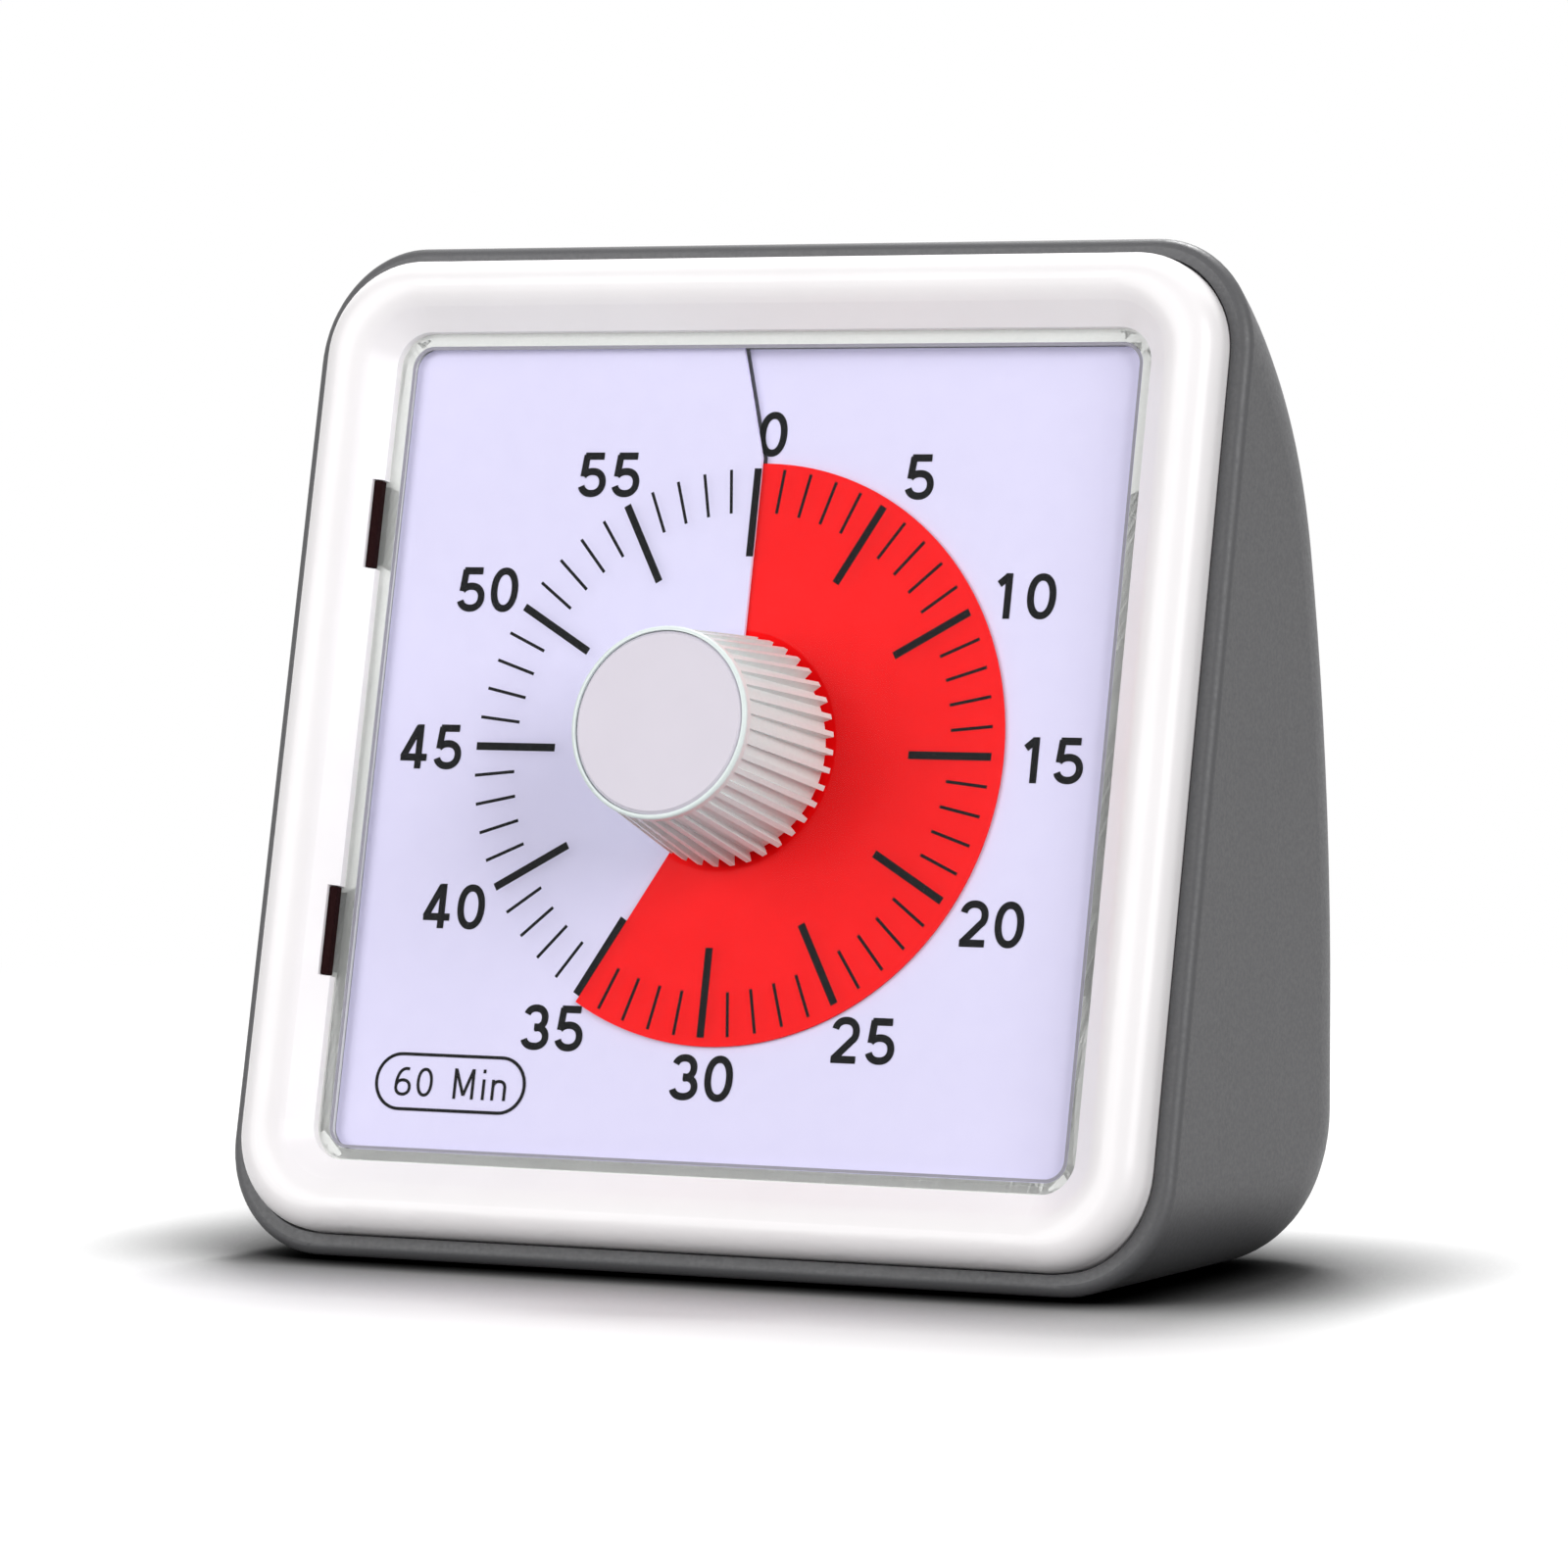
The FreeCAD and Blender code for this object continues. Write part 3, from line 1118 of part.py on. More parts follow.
def clutch_spring():
    """Return the three armed spring that presses the centre wheel on the collar."""
    low = wheel_level(0) + RUNNING_GAP
    high = low + CLUTCH_THICKNESS
    arms = [rod(SHAFT_RADIUS + CLUTCH_ARM_WIDTH, low, high)]
    for index in range(CLUTCH_ARMS):
        arm = box((0, -CLUTCH_ARM_WIDTH / 2, low), (CLUTCH_RADIUS, CLUTCH_ARM_WIDTH / 2, high))
        arm.rotate(Vector(0, 0, 0), Vector(0, 0, 1), TURN * index / CLUTCH_ARMS)
        arms.append(arm)
    return join(arms).cut(rod(SHAFT_RADIUS + RUNNING_GAP / 2, -2 * REACH, REACH))


def rotor():
    """Return the magnet rotor with its arbor and pinion."""
    spot = arbor_spots()["rotor"]
    magnet = rod(MAGNET_RADIUS, MAGNET_FRONT - MAGNET_LENGTH, MAGNET_FRONT, *spot)
    return join([arbor(spot), pinion_gear(3, spot, ROTOR_BEARING), magnet])


def stator():
    """Return the stator plate: a ring round the rotor and two legs to the coil core."""
    u, v = arbor_spots()["rotor"]
    low = STATOR_MID - STATOR_THICKNESS / 2
    high = STATOR_MID + STATOR_THICKNESS / 2
    ring = MAGNET_RADIUS + AIR_GAP + STATOR_RING
    right = COIL_U + CORE_WIDTH / 2
    left = COIL_U - CORE_WIDTH / 2
    core_top = COIL_TOP + BOBBIN_FLANGE
    core_low = COIL_TOP - COIL_LENGTH - BOBBIN_FLANGE
    plates = [rod(ring, low, high, u, v)]
    plates.append(box((u, v - CORE_WIDTH / 2, low), (right, v + CORE_WIDTH / 2, high)))
    plates.append(box((left, core_top, low), (right, v, high)))
    plates.append(box((u - CORE_WIDTH / 2, core_low - CORE_WIDTH, low), (u + CORE_WIDTH / 2, v, high)))
    plates.append(box((u - CORE_WIDTH / 2, core_low - CORE_WIDTH, low), (right, core_low, high)))
    return join(plates).cut(rod(MAGNET_RADIUS + AIR_GAP, low - OVERRUN, high + OVERRUN, u, v))


def peg_spots():
    """Return u, v of the two pegs that carry the stator."""
    u, v = arbor_spots()["rotor"]
    core_low = COIL_TOP - COIL_LENGTH - BOBBIN_FLANGE
    return [(COIL_U, v), (u, core_low - CORE_WIDTH / 2)]


def along_v(radius, low, high):
    """Return a cylinder on the coil's axis between two v values."""
    return Part.makeCylinder(radius, high - low, Vector(COIL_U, low, STATOR_MID), Vector(0, 1, 0))


def coil_bobbin():
    """Return the bobbin on the stator's core, with the core in it."""
    top = COIL_TOP + BOBBIN_FLANGE
    low = COIL_TOP - COIL_LENGTH - BOBBIN_FLANGE
    tube = along_v(CORE_RADIUS, low, top)
    flanges = [along_v(COIL_RADIUS, COIL_TOP, top), along_v(COIL_RADIUS, low, low + BOBBIN_FLANGE)]
    return join([tube] + flanges)


def coil_winding():
    """Return the copper winding between the bobbin's flanges."""
    low = COIL_TOP - COIL_LENGTH
    body = along_v(COIL_RADIUS - WINDING_DROP, low, COIL_TOP)
    return body.cut(along_v(CORE_RADIUS, low - OVERRUN, COIL_TOP + OVERRUN))


# Movement case and circuit board

def pivot_holes():
    """Return the pivot holes of the four free arbors through both plates."""
    radius = PIVOT_RADIUS + RUNNING_GAP
    return [rod(radius, BEARING_FLOOR, MOVEMENT_FRONT - TOUCH, *spot) for spot in arbor_spots().values()]


def movement_block(inset, low, high):
    """Return a block with the movement's outline, drawn in by inset."""
    width = MOVEMENT_WIDTH - 2 * inset
    height = MOVEMENT_HEIGHT - 2 * inset
    block = rounded_block(width, height, MOVEMENT_CORNER - inset, low, high)
    block.translate(Vector(0, MOVEMENT_V, 0))
    return block


def movement_plate():
    """Return the front plate of the movement."""
    plate = movement_block(0, CAVITY_FRONT, MOVEMENT_FRONT)
    return plate.cut(pivot_holes() + [rod(SHAFT_RADIUS + RUNNING_GAP, 2 * MOVEMENT_BACK, 0)])


def movement_cover():
    """Return the rear cover of the movement with its ears and pegs."""
    cover = movement_block(0, MOVEMENT_BACK, CAVITY_FRONT)
    cover = cover.cut(movement_block(MOVEMENT_WALL, CAVITY_BACK, 0))
    added = []
    ear_top = FRAME_BACK - EAR_STANDOFF
    for u, v in ear_spots():
        side = 1 if u > 0 else -1
        near = side * (MOVEMENT_WIDTH / 2 - MOVEMENT_WALL / 2)
        low = (min(near, u), v - EAR_POST_RADIUS, ear_top - EAR_THICKNESS)
        ear = box(low, (max(near, u), v + EAR_POST_RADIUS, ear_top))
        added.append(ear)
        added.append(rod(EAR_POST_RADIUS, ear_top - EAR_THICKNESS, ear_top, u, v))
    for u, v in peg_spots():
        added.append(rod(PEG_RADIUS, CAVITY_BACK - TOUCH, STATOR_MID - STATOR_THICKNESS / 2, u, v))
    cover = cover.multiFuse(added)
    cuts = pivot_holes() + [rod(SHAFT_RADIUS + RUNNING_GAP, BEARING_FLOOR, 0)]
    for u, v in ear_spots():
        cuts.append(rod(SMALL_SHANK + SEAT_GAP, 2 * MOVEMENT_BACK, 0, u, v))
    return cover.cut(cuts)


def movement_screws():
    """Return the four screws through the movement's ears."""
    one = screw(SMALL_SHANK, SMALL_HEAD, SMALL_SCREW_LENGTH)
    seat = FRAME_BACK - EAR_STANDOFF - EAR_THICKNESS
    return [from_behind(one, u, v, seat) for u, v in ear_spots()]


def board_box():
    """Return the low and high corners of the circuit board."""
    low_v = MOVEMENT_LOW + MOVEMENT_WALL + BOARD_EDGE_GAP
    left = -MOVEMENT_WIDTH / 2 + MOVEMENT_WALL + BOARD_EDGE_GAP
    low = (left, low_v, CAVITY_BACK)
    return low, (left + BOARD_WIDTH, low_v + BOARD_HEIGHT, CAVITY_BACK + BOARD_THICKNESS)


def circuit_board():
    """Return the bare board on the rear cover's floor."""
    return box(*board_box())


def chip():
    """Return the blob that covers the clock chip."""
    low, high = board_box()
    middle = Vector(low[0] + CHIP_INSET, (low[1] + high[1]) / 2, high[2])
    radius = (CHIP_RADIUS**2 + CHIP_HEIGHT**2) / (2 * CHIP_HEIGHT)
    ball = Part.makeSphere(radius, middle - Vector(0, 0, radius - CHIP_HEIGHT))
    above = box((middle.x - radius, middle.y - radius, high[2]), (middle.x + radius, middle.y + radius, 0))
    return ball.common(above)


def crystal():
    """Return the quartz crystal can lying on the board."""
    low, high = board_box()
    start = Vector(low[0] + BOARD_WIDTH / 2, (low[1] + high[1]) / 2, high[2] + CRYSTAL_RADIUS)
    return Part.makeCylinder(CRYSTAL_RADIUS, CRYSTAL_LENGTH, start, Vector(1, 0, 0))


def build():
    """Build every sub-part and write it as its own file."""
    os.makedirs("parts", exist_ok=True)
    save("rear_shell", [rear_shell()])
    save("rubber_feet", feet())
    save("case_screws", case_screws())
    save("front_bezel", [in_case(front_bezel())])
    save("lens", [in_case(lens())])
    save("dial_frame", [dial_frame()])
    save("bezel_screws", [in_case(one) for one in bezel_screws()])
    save("dial_card", [in_case(dial_card())])
    save("red_disc", [in_case(red_disc())])
    save("knob", [in_case(knob())])
    save("knob_cap", [in_case(knob_cap())])
    save("knob_screw", [in_case(knob_screw())])
    save("disc_hub", [in_case(disc_hub())])
    save("centre_shaft", [in_case(centre_shaft())])
    save("clutch_spring", [in_case(clutch_spring())])
    save("centre_wheel", [in_case(centre_wheel())])
    spots = arbor_spots()
    third = train_wheel(THIRD_TEETH, 1, spots["third"], THIRD_BEARING, SECOND_BEARING)
    save("third_wheel", [in_case(third)])
    second = train_wheel(SECOND_TEETH, 2, spots["second"], SECOND_BEARING, INTERMEDIATE_BEARING)
    save("second_wheel", [in_case(second)])
    last = train_wheel(INTERMEDIATE_TEETH, 3, spots["intermediate"], INTERMEDIATE_BEARING, ROTOR_BEARING)
    save("intermediate_wheel", [in_case(last)])
    save("rotor", [in_case(rotor())])
    save("stator", [in_case(stator())])
    save("coil_bobbin", [in_case(coil_bobbin())])
    save("coil_winding", [in_case(coil_winding())])
    save("movement_plate", [in_case(movement_plate())])
    save("movement_cover", [in_case(movement_cover())])
    save("movement_screws", [in_case(one) for one in movement_screws()])
    save("circuit_board", [in_case(circuit_board())])
    save("chip", [in_case(chip())])
    save("crystal", [in_case(crystal())])
    save("sounder", [sounder()])
    save("cell", [cell()])
    save("contact_plus", [leaf_contact(1)])
    save("contact_minus", [leaf_contact(-1)])
    save("battery_door", [battery_door()])
    save("switch_body", [switch_body()])
    save("switch_slider", [switch_slider()])


if __name__ == "__main__":
    build()
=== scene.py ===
import json
import logging
import math
from dataclasses import dataclass
from enum import Enum

import bmesh
import bpy
from mathutils import Matrix, Vector


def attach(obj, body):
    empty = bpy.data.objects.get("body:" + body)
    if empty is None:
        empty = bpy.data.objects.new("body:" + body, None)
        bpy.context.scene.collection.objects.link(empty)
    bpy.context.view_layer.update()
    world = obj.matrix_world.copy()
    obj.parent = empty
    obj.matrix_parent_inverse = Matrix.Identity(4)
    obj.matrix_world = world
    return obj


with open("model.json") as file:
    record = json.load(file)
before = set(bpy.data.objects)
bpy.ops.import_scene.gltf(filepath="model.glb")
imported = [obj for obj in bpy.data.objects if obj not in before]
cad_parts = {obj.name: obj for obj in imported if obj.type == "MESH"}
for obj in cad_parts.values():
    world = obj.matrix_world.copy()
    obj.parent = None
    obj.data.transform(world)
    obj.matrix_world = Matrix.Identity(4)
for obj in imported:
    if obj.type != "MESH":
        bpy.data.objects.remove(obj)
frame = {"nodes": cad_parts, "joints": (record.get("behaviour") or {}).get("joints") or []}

LOG = logging.getLogger("timer")
MM = 0.001

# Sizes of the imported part, in millimetres of the dial's frame
CARD_THICKNESS = 0.3
CARD_LEVEL = -3.3
WIND_PITCH = 0.7
LENS_BACK = -1.85
WINDOW_WIDTH = 63.9
WINDOW_HEIGHT = 64.6
WINDOW_CORNER = 1.8

# Prints: thickness of the ink and the air under it
INK_THICKNESS = 0.03
INK_GAP = 0.01

# Minutes of a full dial, and the degrees that one of them takes
HOUR = 60
MINUTE_DEGREES = 6
NUMBER_STEP = 5
FULL_TURN = 360

# Size of the photograph that the camera was fitted to, and the camera's film width
PHOTO_PX = 1600.0
SENSOR_MM = 36.0

# Grain of every finish: noise detail and roughness, and the noise values that colour and gloss span
GRAIN_DETAIL = 3.0
GRAIN_ROUGHNESS = 0.55
COLOUR_SPAN = (0.35, 0.75)
GLOSS_SPAN = (0.3, 0.7)

# How far scratches and wire turns are drawn out along X
SCRATCH_STRETCH = 0.04
WIRE_STRETCH = 0.02

# Sockets of the colour mix node
MIX_SHARE = 0
MIX_FIRST = 6
MIX_SECOND = 7
MIX_RESULT = 2

# How far a face may lean from the direction that it is picked by
FACE_MATCH = 0.99

Point = tuple[float, float]


# Small tools for colours, nodes and meshes

def linear(code: str) -> tuple[float, float, float, float]:
    """Turn an sRGB hex colour into a linear one.

    Args:
        code: Six hex digits, with or without a leading hash.

    Returns:
        Linear red, green, blue and an alpha of one.
    """
    digits = code.lstrip("#")
    channels = [int(digits[i:i + 2], 16) / 255 for i in (0, 2, 4)]
    curve = [c / 12.92 if c <= 0.04045 else ((c + 0.055) / 1.055) ** 2.4 for c in channels]
    return (curve[0], curve[1], curve[2], 1.0)


def add_node(tree: bpy.types.NodeTree, kind: str, settings: dict | None = None,
             inputs: dict | None = None) -> bpy.types.Node:
    """Add a node, set its properties and its sockets, and link what is a socket.

    Args:
        tree: The node tree that gets the node.
        kind: The node's type name.
        settings: Property names and values.
        inputs: Input names or numbers, each with a value or an output socket.

    Returns:
        The new node.
    """
    node = tree.nodes.new(kind)
    for name, value in (settings or {}).items():
        setattr(node, name, value)
    for key, value in (inputs or {}).items():
        if isinstance(value, bpy.types.NodeSocket):
            tree.links.new(value, node.inputs[key])
        else:
            node.inputs[key].default_value = value
    return node


def deselect() -> None:
    """Leave nothing selected and object mode on."""
    if bpy.context.object and bpy.context.object.mode != "OBJECT":
        bpy.ops.object.mode_set(mode="OBJECT")
    bpy.ops.object.select_all(action="DESELECT")


def select_only(piece: bpy.types.Object) -> None:
    """Make one object the only selected and the active one.

    Args:
        piece: The object.
    """
    deselect()
    piece.select_set(True)
    bpy.context.view_layer.objects.active = piece


def apply_place(piece: bpy.types.Object) -> None:
    """Move an object's place, turn and scale into its mesh."""
    select_only(piece)
    bpy.ops.object.transform_apply(location=True, rotation=True, scale=True)


def copy_to(piece: bpy.types.Object, place: Matrix) -> bpy.types.Object:
    """Copy a piece with its own mesh, and move that by a matrix.

    Args:
        piece: What is copied.
        place: Where its mesh goes.

    Returns:
        The copy, linked to the scene.
    """
    copy = piece.copy()
    copy.data = piece.data.copy()
    bpy.context.collection.objects.link(copy)
    copy.data.transform(place)
    return copy


def join_pieces(pieces: list[bpy.types.Object], name: str) -> bpy.types.Object:
    """Join several mesh objects into one named piece.

    Args:
        pieces: The objects, at least one.
        name: Name of the piece and of its mesh.

    Returns:
        The joined piece.
    """
    deselect()
    for piece in pieces:
        piece.select_set(True)
    bpy.context.view_layer.objects.active = pieces[0]
    if len(pieces) > 1:
        bpy.ops.object.join()
    joined = bpy.context.object
    joined.name = name
    joined.data.name = name
    return joined


def pick_faces(piece: bpy.types.Object, towards: Vector) -> None:
    """Select the faces of the object in edit mode that look in a direction.

    Args:
        piece: The object, in edit mode.
        towards: The direction, of length one.
    """
    mesh = bmesh.from_edit_mesh(piece.data)
    for face in mesh.faces:
        face.select = face.normal.dot(towards) > FACE_MATCH
    mesh.select_flush_mode()
    bmesh.update_edit_mesh(piece.data)


# Finishes: what each surface is made of and how it was made

class Pattern(Enum):
    """How the surface of a finish is broken up."""

    MOULDED = "fine even grain of a spark eroded mould"
    POLISHED = "polished mould with a faint slow ripple"
    BRUSHED = "long scratches along one axis"
    PRINTED = "smooth sheet with faint fibre"
    WOUND = "turns of fine wire"


@dataclass(frozen=True)
class Finish:
    """One real material and how its surface was made.

    Args:
        name: Material name.
        colour: Main sRGB colour.
        shade: sRGB colour of the hollows or the darker grain.
        pattern: How the surface is broken up.
        size_mm: Real size of the pattern's grain.
        rough: Lowest and highest roughness.
        bump_mm: Height of the grain.
        metallic: One for a bare metal.
        spread: How much of the shade shows.
        specular: Level of the surface's mirror part, a half for plain plastic.
    """

    name: str
    colour: str
    shade: str
    pattern: Pattern
    size_mm: float
    rough: tuple[float, float]
    bump_mm: float = 0.01
    metallic: float = 0.0
    spread: float = 0.35
    specular: float = 0.5

    def stretch(self) -> tuple[float, float, float]:
        """Tell how the pattern is drawn out along X, Y and Z.

        Returns:
            Scales along the three axes.
        """
        if self.pattern is Pattern.BRUSHED:
            return (SCRATCH_STRETCH, 1.0, 1.0)
        if self.pattern is Pattern.WOUND:
            return (WIRE_STRETCH, 1.0, 1.0)
        return (1.0, 1.0, 1.0)

    def build(self) -> bpy.types.Material:
        """Build the node material of this finish.

        Returns:
            The material, with its grain in the real size.
        """
        material = bpy.data.materials.new(self.name)
        material.use_nodes = True
        material.diffuse_color = linear(self.colour)
        tree = material.node_tree
        shader = tree.nodes["Principled BSDF"]
        shader.inputs["Metallic"].default_value = self.metallic
        shader.inputs["Specular IOR Level"].default_value = self.specular
        place = add_node(tree, "ShaderNodeTexCoord").outputs["Object"]
        stretched = add_node(tree, "ShaderNodeMapping", {}, {"Vector": place, "Scale": self.stretch()})
        grain = add_node(tree, "ShaderNodeTexNoise", {"noise_dimensions": "3D"}, {
            "Vector": stretched.outputs["Vector"], "Scale": 1 / (self.size_mm * MM),
            "Detail": GRAIN_DETAIL, "Roughness": GRAIN_ROUGHNESS})
        share = add_node(tree, "ShaderNodeMapRange", {}, {
            "Value": grain.outputs["Fac"], "From Min": COLOUR_SPAN[0], "From Max": COLOUR_SPAN[1],
            "To Min": 0.0, "To Max": self.spread})
        colour = add_node(tree, "ShaderNodeMix", {"data_type": "RGBA"}, {
            MIX_SHARE: share.outputs["Result"], MIX_FIRST: linear(self.colour),
            MIX_SECOND: linear(self.shade)})
        tree.links.new(colour.outputs[MIX_RESULT], shader.inputs["Base Color"])
        gloss = add_node(tree, "ShaderNodeMapRange", {}, {
            "Value": grain.outputs["Fac"], "From Min": GLOSS_SPAN[0], "From Max": GLOSS_SPAN[1],
            "To Min": self.rough[0], "To Max": self.rough[1]})
        tree.links.new(gloss.outputs["Result"], shader.inputs["Roughness"])
        bump = add_node(tree, "ShaderNodeBump", {}, {
            "Height": grain.outputs["Fac"], "Distance": self.bump_mm * MM, "Strength": 1.0})
        tree.links.new(bump.outputs["Normal"], shader.inputs["Normal"])
        return material


@dataclass(frozen=True)
class ClearSheet:
    """Clear acrylic: the eye sees only its edges and a weak reflection.

    Args:
        name: Material name.
        colour: Tint of the sheet.
        alpha: How much of the surface shows.
        ior: Index of refraction of acrylic.
        haze_scale: Waves of the faint haze in a metre.
        rough: Lowest and highest roughness.
    """

    name: str = "clear_acrylic"
    colour: str = "#f4f8ff"
    alpha: float = 0.008
    ior: float = 1.49
    haze_scale: float = 60.0
    rough: tuple[float, float] = (0.04, 0.1)

    def build(self) -> bpy.types.Material:
        """Build the node material of the sheet.

        Returns:
            The material, nearly all of it clear.
        """
        material = bpy.data.materials.new(self.name)
        material.use_nodes = True
        tree = material.node_tree
        shader = tree.nodes["Principled BSDF"]
        shader.inputs["Base Color"].default_value = linear(self.colour)
        shader.inputs["IOR"].default_value = self.ior
        shader.inputs["Alpha"].default_value = self.alpha
        place = add_node(tree, "ShaderNodeTexCoord").outputs["Object"]
        haze = add_node(tree, "ShaderNodeTexNoise", {}, {"Vector": place, "Scale": self.haze_scale})
        gloss = add_node(tree, "ShaderNodeMapRange", {}, {
            "Value": haze.outputs["Fac"], "To Min": self.rough[0], "To Max": self.rough[1]})
        tree.links.new(gloss.outputs["Result"], shader.inputs["Roughness"])
        return material


# Satin ABS from a spark eroded mould. Its real grain of 0.1 mm is drawn at 0.3 mm so that it shows.
SHELL_ABS = Finish("satin_abs_shell", "#4f4f51", "#444446", Pattern.MOULDED, 0.3, (0.42, 0.55), 0.006)
# High gloss ABS: bright and smooth, with a slow ripple from the mould.
BEZEL_ABS = Finish("gloss_abs_bezel", "#f8f5f6", "#f2eff0", Pattern.POLISHED, 9.0, (0.28, 0.34), 0.004,
                   spread=0.5)
# Styrene frame with a fine matt mould finish.
FRAME_PS = Finish("matt_styrene_frame", "#e2e4e1", "#d6d9d6", Pattern.MOULDED, 0.25, (0.5, 0.62), 0.006)
# Printed sheet of rigid vinyl: even colour, faint fibre, hardly any gloss.
CARD_PVC = Finish("printed_vinyl_card", "#e5e1fe", "#e1ddfb", Pattern.PRINTED, 1.6, (0.6, 0.7), 0.001,
                  spread=0.5, specular=0.1)
# Deep red polyester film with a matt print side.
FILM_PET = Finish("red_polyester_film", "#ff050a", "#f60409", Pattern.PRINTED, 3.0, (0.6, 0.7), 0.001,
                  spread=0.4, specular=0.08)
# Ribbed grip of moulded ABS.
KNOB_ABS = Finish("satin_abs_knob", "#e2ecea", "#d6e1de", Pattern.MOULDED, 0.4, (0.34, 0.44), 0.003)
# Flat cap of the knob, a touch warmer and smoother.
CAP_ABS = Finish("gloss_abs_cap", "#dcd6e1", "#d8d2dd", Pattern.POLISHED, 6.0, (0.4, 0.46), 0.001,
                 spread=0.5, specular=0.25)
# Screen ink: dead black and thin.
INK = Finish("screen_ink", "#060607", "#0a0a0b", Pattern.PRINTED, 0.5, (0.6, 0.75), 0.001, specular=0.05)
# Grey screen ink of the line round the window, painted shade that stands in for the shadow line at the
# window's edge.
SHADE_LINE_INK = Finish("grey_ink_painted_shade", "#9b99a4", "#918f9a", Pattern.PRINTED, 0.5, (0.5, 0.65), 0.001,
                  specular=0.1)
# Nitrile foam pad, dull and nearly black with a brown cast; the near-black is also painted shade that
# stands in for the dark inside the bezel's slots.
PAD_FOAM_AND_SLOT_SHADE = Finish("foam_pad_and_slot_shade", "#20090a", "#140607", Pattern.MOULDED, 0.3, (0.8, 0.95), 0.02, specular=0.1)
# Moulded rubber foot.
FOOT_RUBBER = Finish("moulded_rubber", "#161616", "#0e0e0e", Pattern.MOULDED, 0.3, (0.7, 0.85), 0.01)
# Zinc plated steel with turning marks.
SCREW_ZINC = Finish("zinc_plated_steel", "#b9bab8", "#8d8f8e", Pattern.BRUSHED, 0.12, (0.25, 0.42),
                    0.004, 1.0)
# Nickel plated spring strip.
CONTACT_NICKEL = Finish("nickel_strip", "#cfccc4", "#b5b2aa", Pattern.BRUSHED, 0.1, (0.18, 0.3), 0.002, 1.0)
# Natural acetal: milky and waxy.
ACETAL = Finish("natural_acetal", "#ece8dd", "#e2ddd0", Pattern.POLISHED, 2.0, (0.35, 0.45), 0.002)
# Black styrene of the movement case.
MOVEMENT_PS = Finish("black_styrene", "#1b1b1c", "#121213", Pattern.MOULDED, 0.25, (0.45, 0.6), 0.006)
# Electrical steel with its grey oxide skin.
STATOR_STEEL = Finish("electrical_steel", "#87878a", "#6c6c70", Pattern.BRUSHED, 0.15, (0.35, 0.5), 0.002,
                      1.0)
# Enamelled copper wire, turns 0.12 mm apart.
COPPER = Finish("enamelled_copper", "#c4622f", "#7d3414", Pattern.WOUND, 0.12, (0.28, 0.4), 0.02, 1.0)
# Bonded ferrite, dark grey and grainy.
FERRITE = Finish("bonded_ferrite", "#3a3736", "#2b2928", Pattern.MOULDED, 0.2, (0.55, 0.7), 0.006)
# Board with a green solder mask.
BOARD = Finish("solder_mask_board", "#1f5a35", "#174a2b", Pattern.PRINTED, 0.8, (0.3, 0.4), 0.004)
# Shiny black epoxy drop.
EPOXY = Finish("black_epoxy", "#0c0c0d", "#050505", Pattern.POLISHED, 1.0, (0.12, 0.2), 0.002)
# Shrink wrap of the cell over its steel can.
CELL_WRAP = Finish("cell_shrink_wrap", "#3f5f7f", "#385674", Pattern.POLISHED, 3.0, (0.25, 0.32), 0.002)

NODE_FINISHES = {
    "rear_shell": SHELL_ABS, "battery_door": SHELL_ABS, "rubber_feet": FOOT_RUBBER,
    "case_screws": SCREW_ZINC, "bezel_screws": SCREW_ZINC, "movement_screws": SCREW_ZINC,
    "knob_screw": SCREW_ZINC, "front_bezel": BEZEL_ABS, "dial_frame": FRAME_PS,
    "dial_card": CARD_PVC, "red_disc": FILM_PET, "knob": KNOB_ABS, "knob_cap": CAP_ABS,
    "disc_hub": ACETAL, "centre_shaft": ACETAL, "clutch_spring": CONTACT_NICKEL,
    "movement_plate": MOVEMENT_PS, "movement_cover": MOVEMENT_PS, "centre_wheel": ACETAL,
    "third_wheel": ACETAL, "second_wheel": ACETAL, "intermediate_wheel": ACETAL,
    "rotor": FERRITE, "stator": STATOR_STEEL, "coil_bobbin": MOVEMENT_PS, "coil_winding": COPPER,
    "circuit_board": BOARD, "chip": EPOXY, "crystal": CONTACT_NICKEL, "sounder": MOVEMENT_PS,
    "cell": CELL_WRAP, "contact_plus": CONTACT_NICKEL, "contact_minus": CONTACT_NICKEL,
    "switch_body": MOVEMENT_PS, "switch_slider": MOVEMENT_PS,
}


class FinishStore:
    """Builds each finish once and puts it on pieces and CAD nodes."""

    def __init__(self) -> None:
        """Start with no material built."""
        self.made: dict[str, bpy.types.Material] = {}

    def material(self, finish: Finish | ClearSheet) -> bpy.types.Material:
        """Look up the material of a finish, and build it on first use.

        Args:
            finish: The finish that is asked for.

        Returns:
            Its material.
        """
        if finish.name not in self.made:
            self.made[finish.name] = finish.build()
        return self.made[finish.name]

    def dress(self, piece: bpy.types.Object, finish: Finish | ClearSheet) -> None:
        """Give a piece one finish all over."""
        piece.data.materials.clear()
        piece.data.materials.append(self.material(finish))

    def dress_nodes(self) -> None:
        """Give every CAD node its finish."""
        for name, finish in NODE_FINISHES.items():
            self.dress(frame["nodes"][name], finish)
        self.dress(frame["nodes"]["lens"], ClearSheet())
        LOG.info("dressed %d nodes", len(frame["nodes"]))


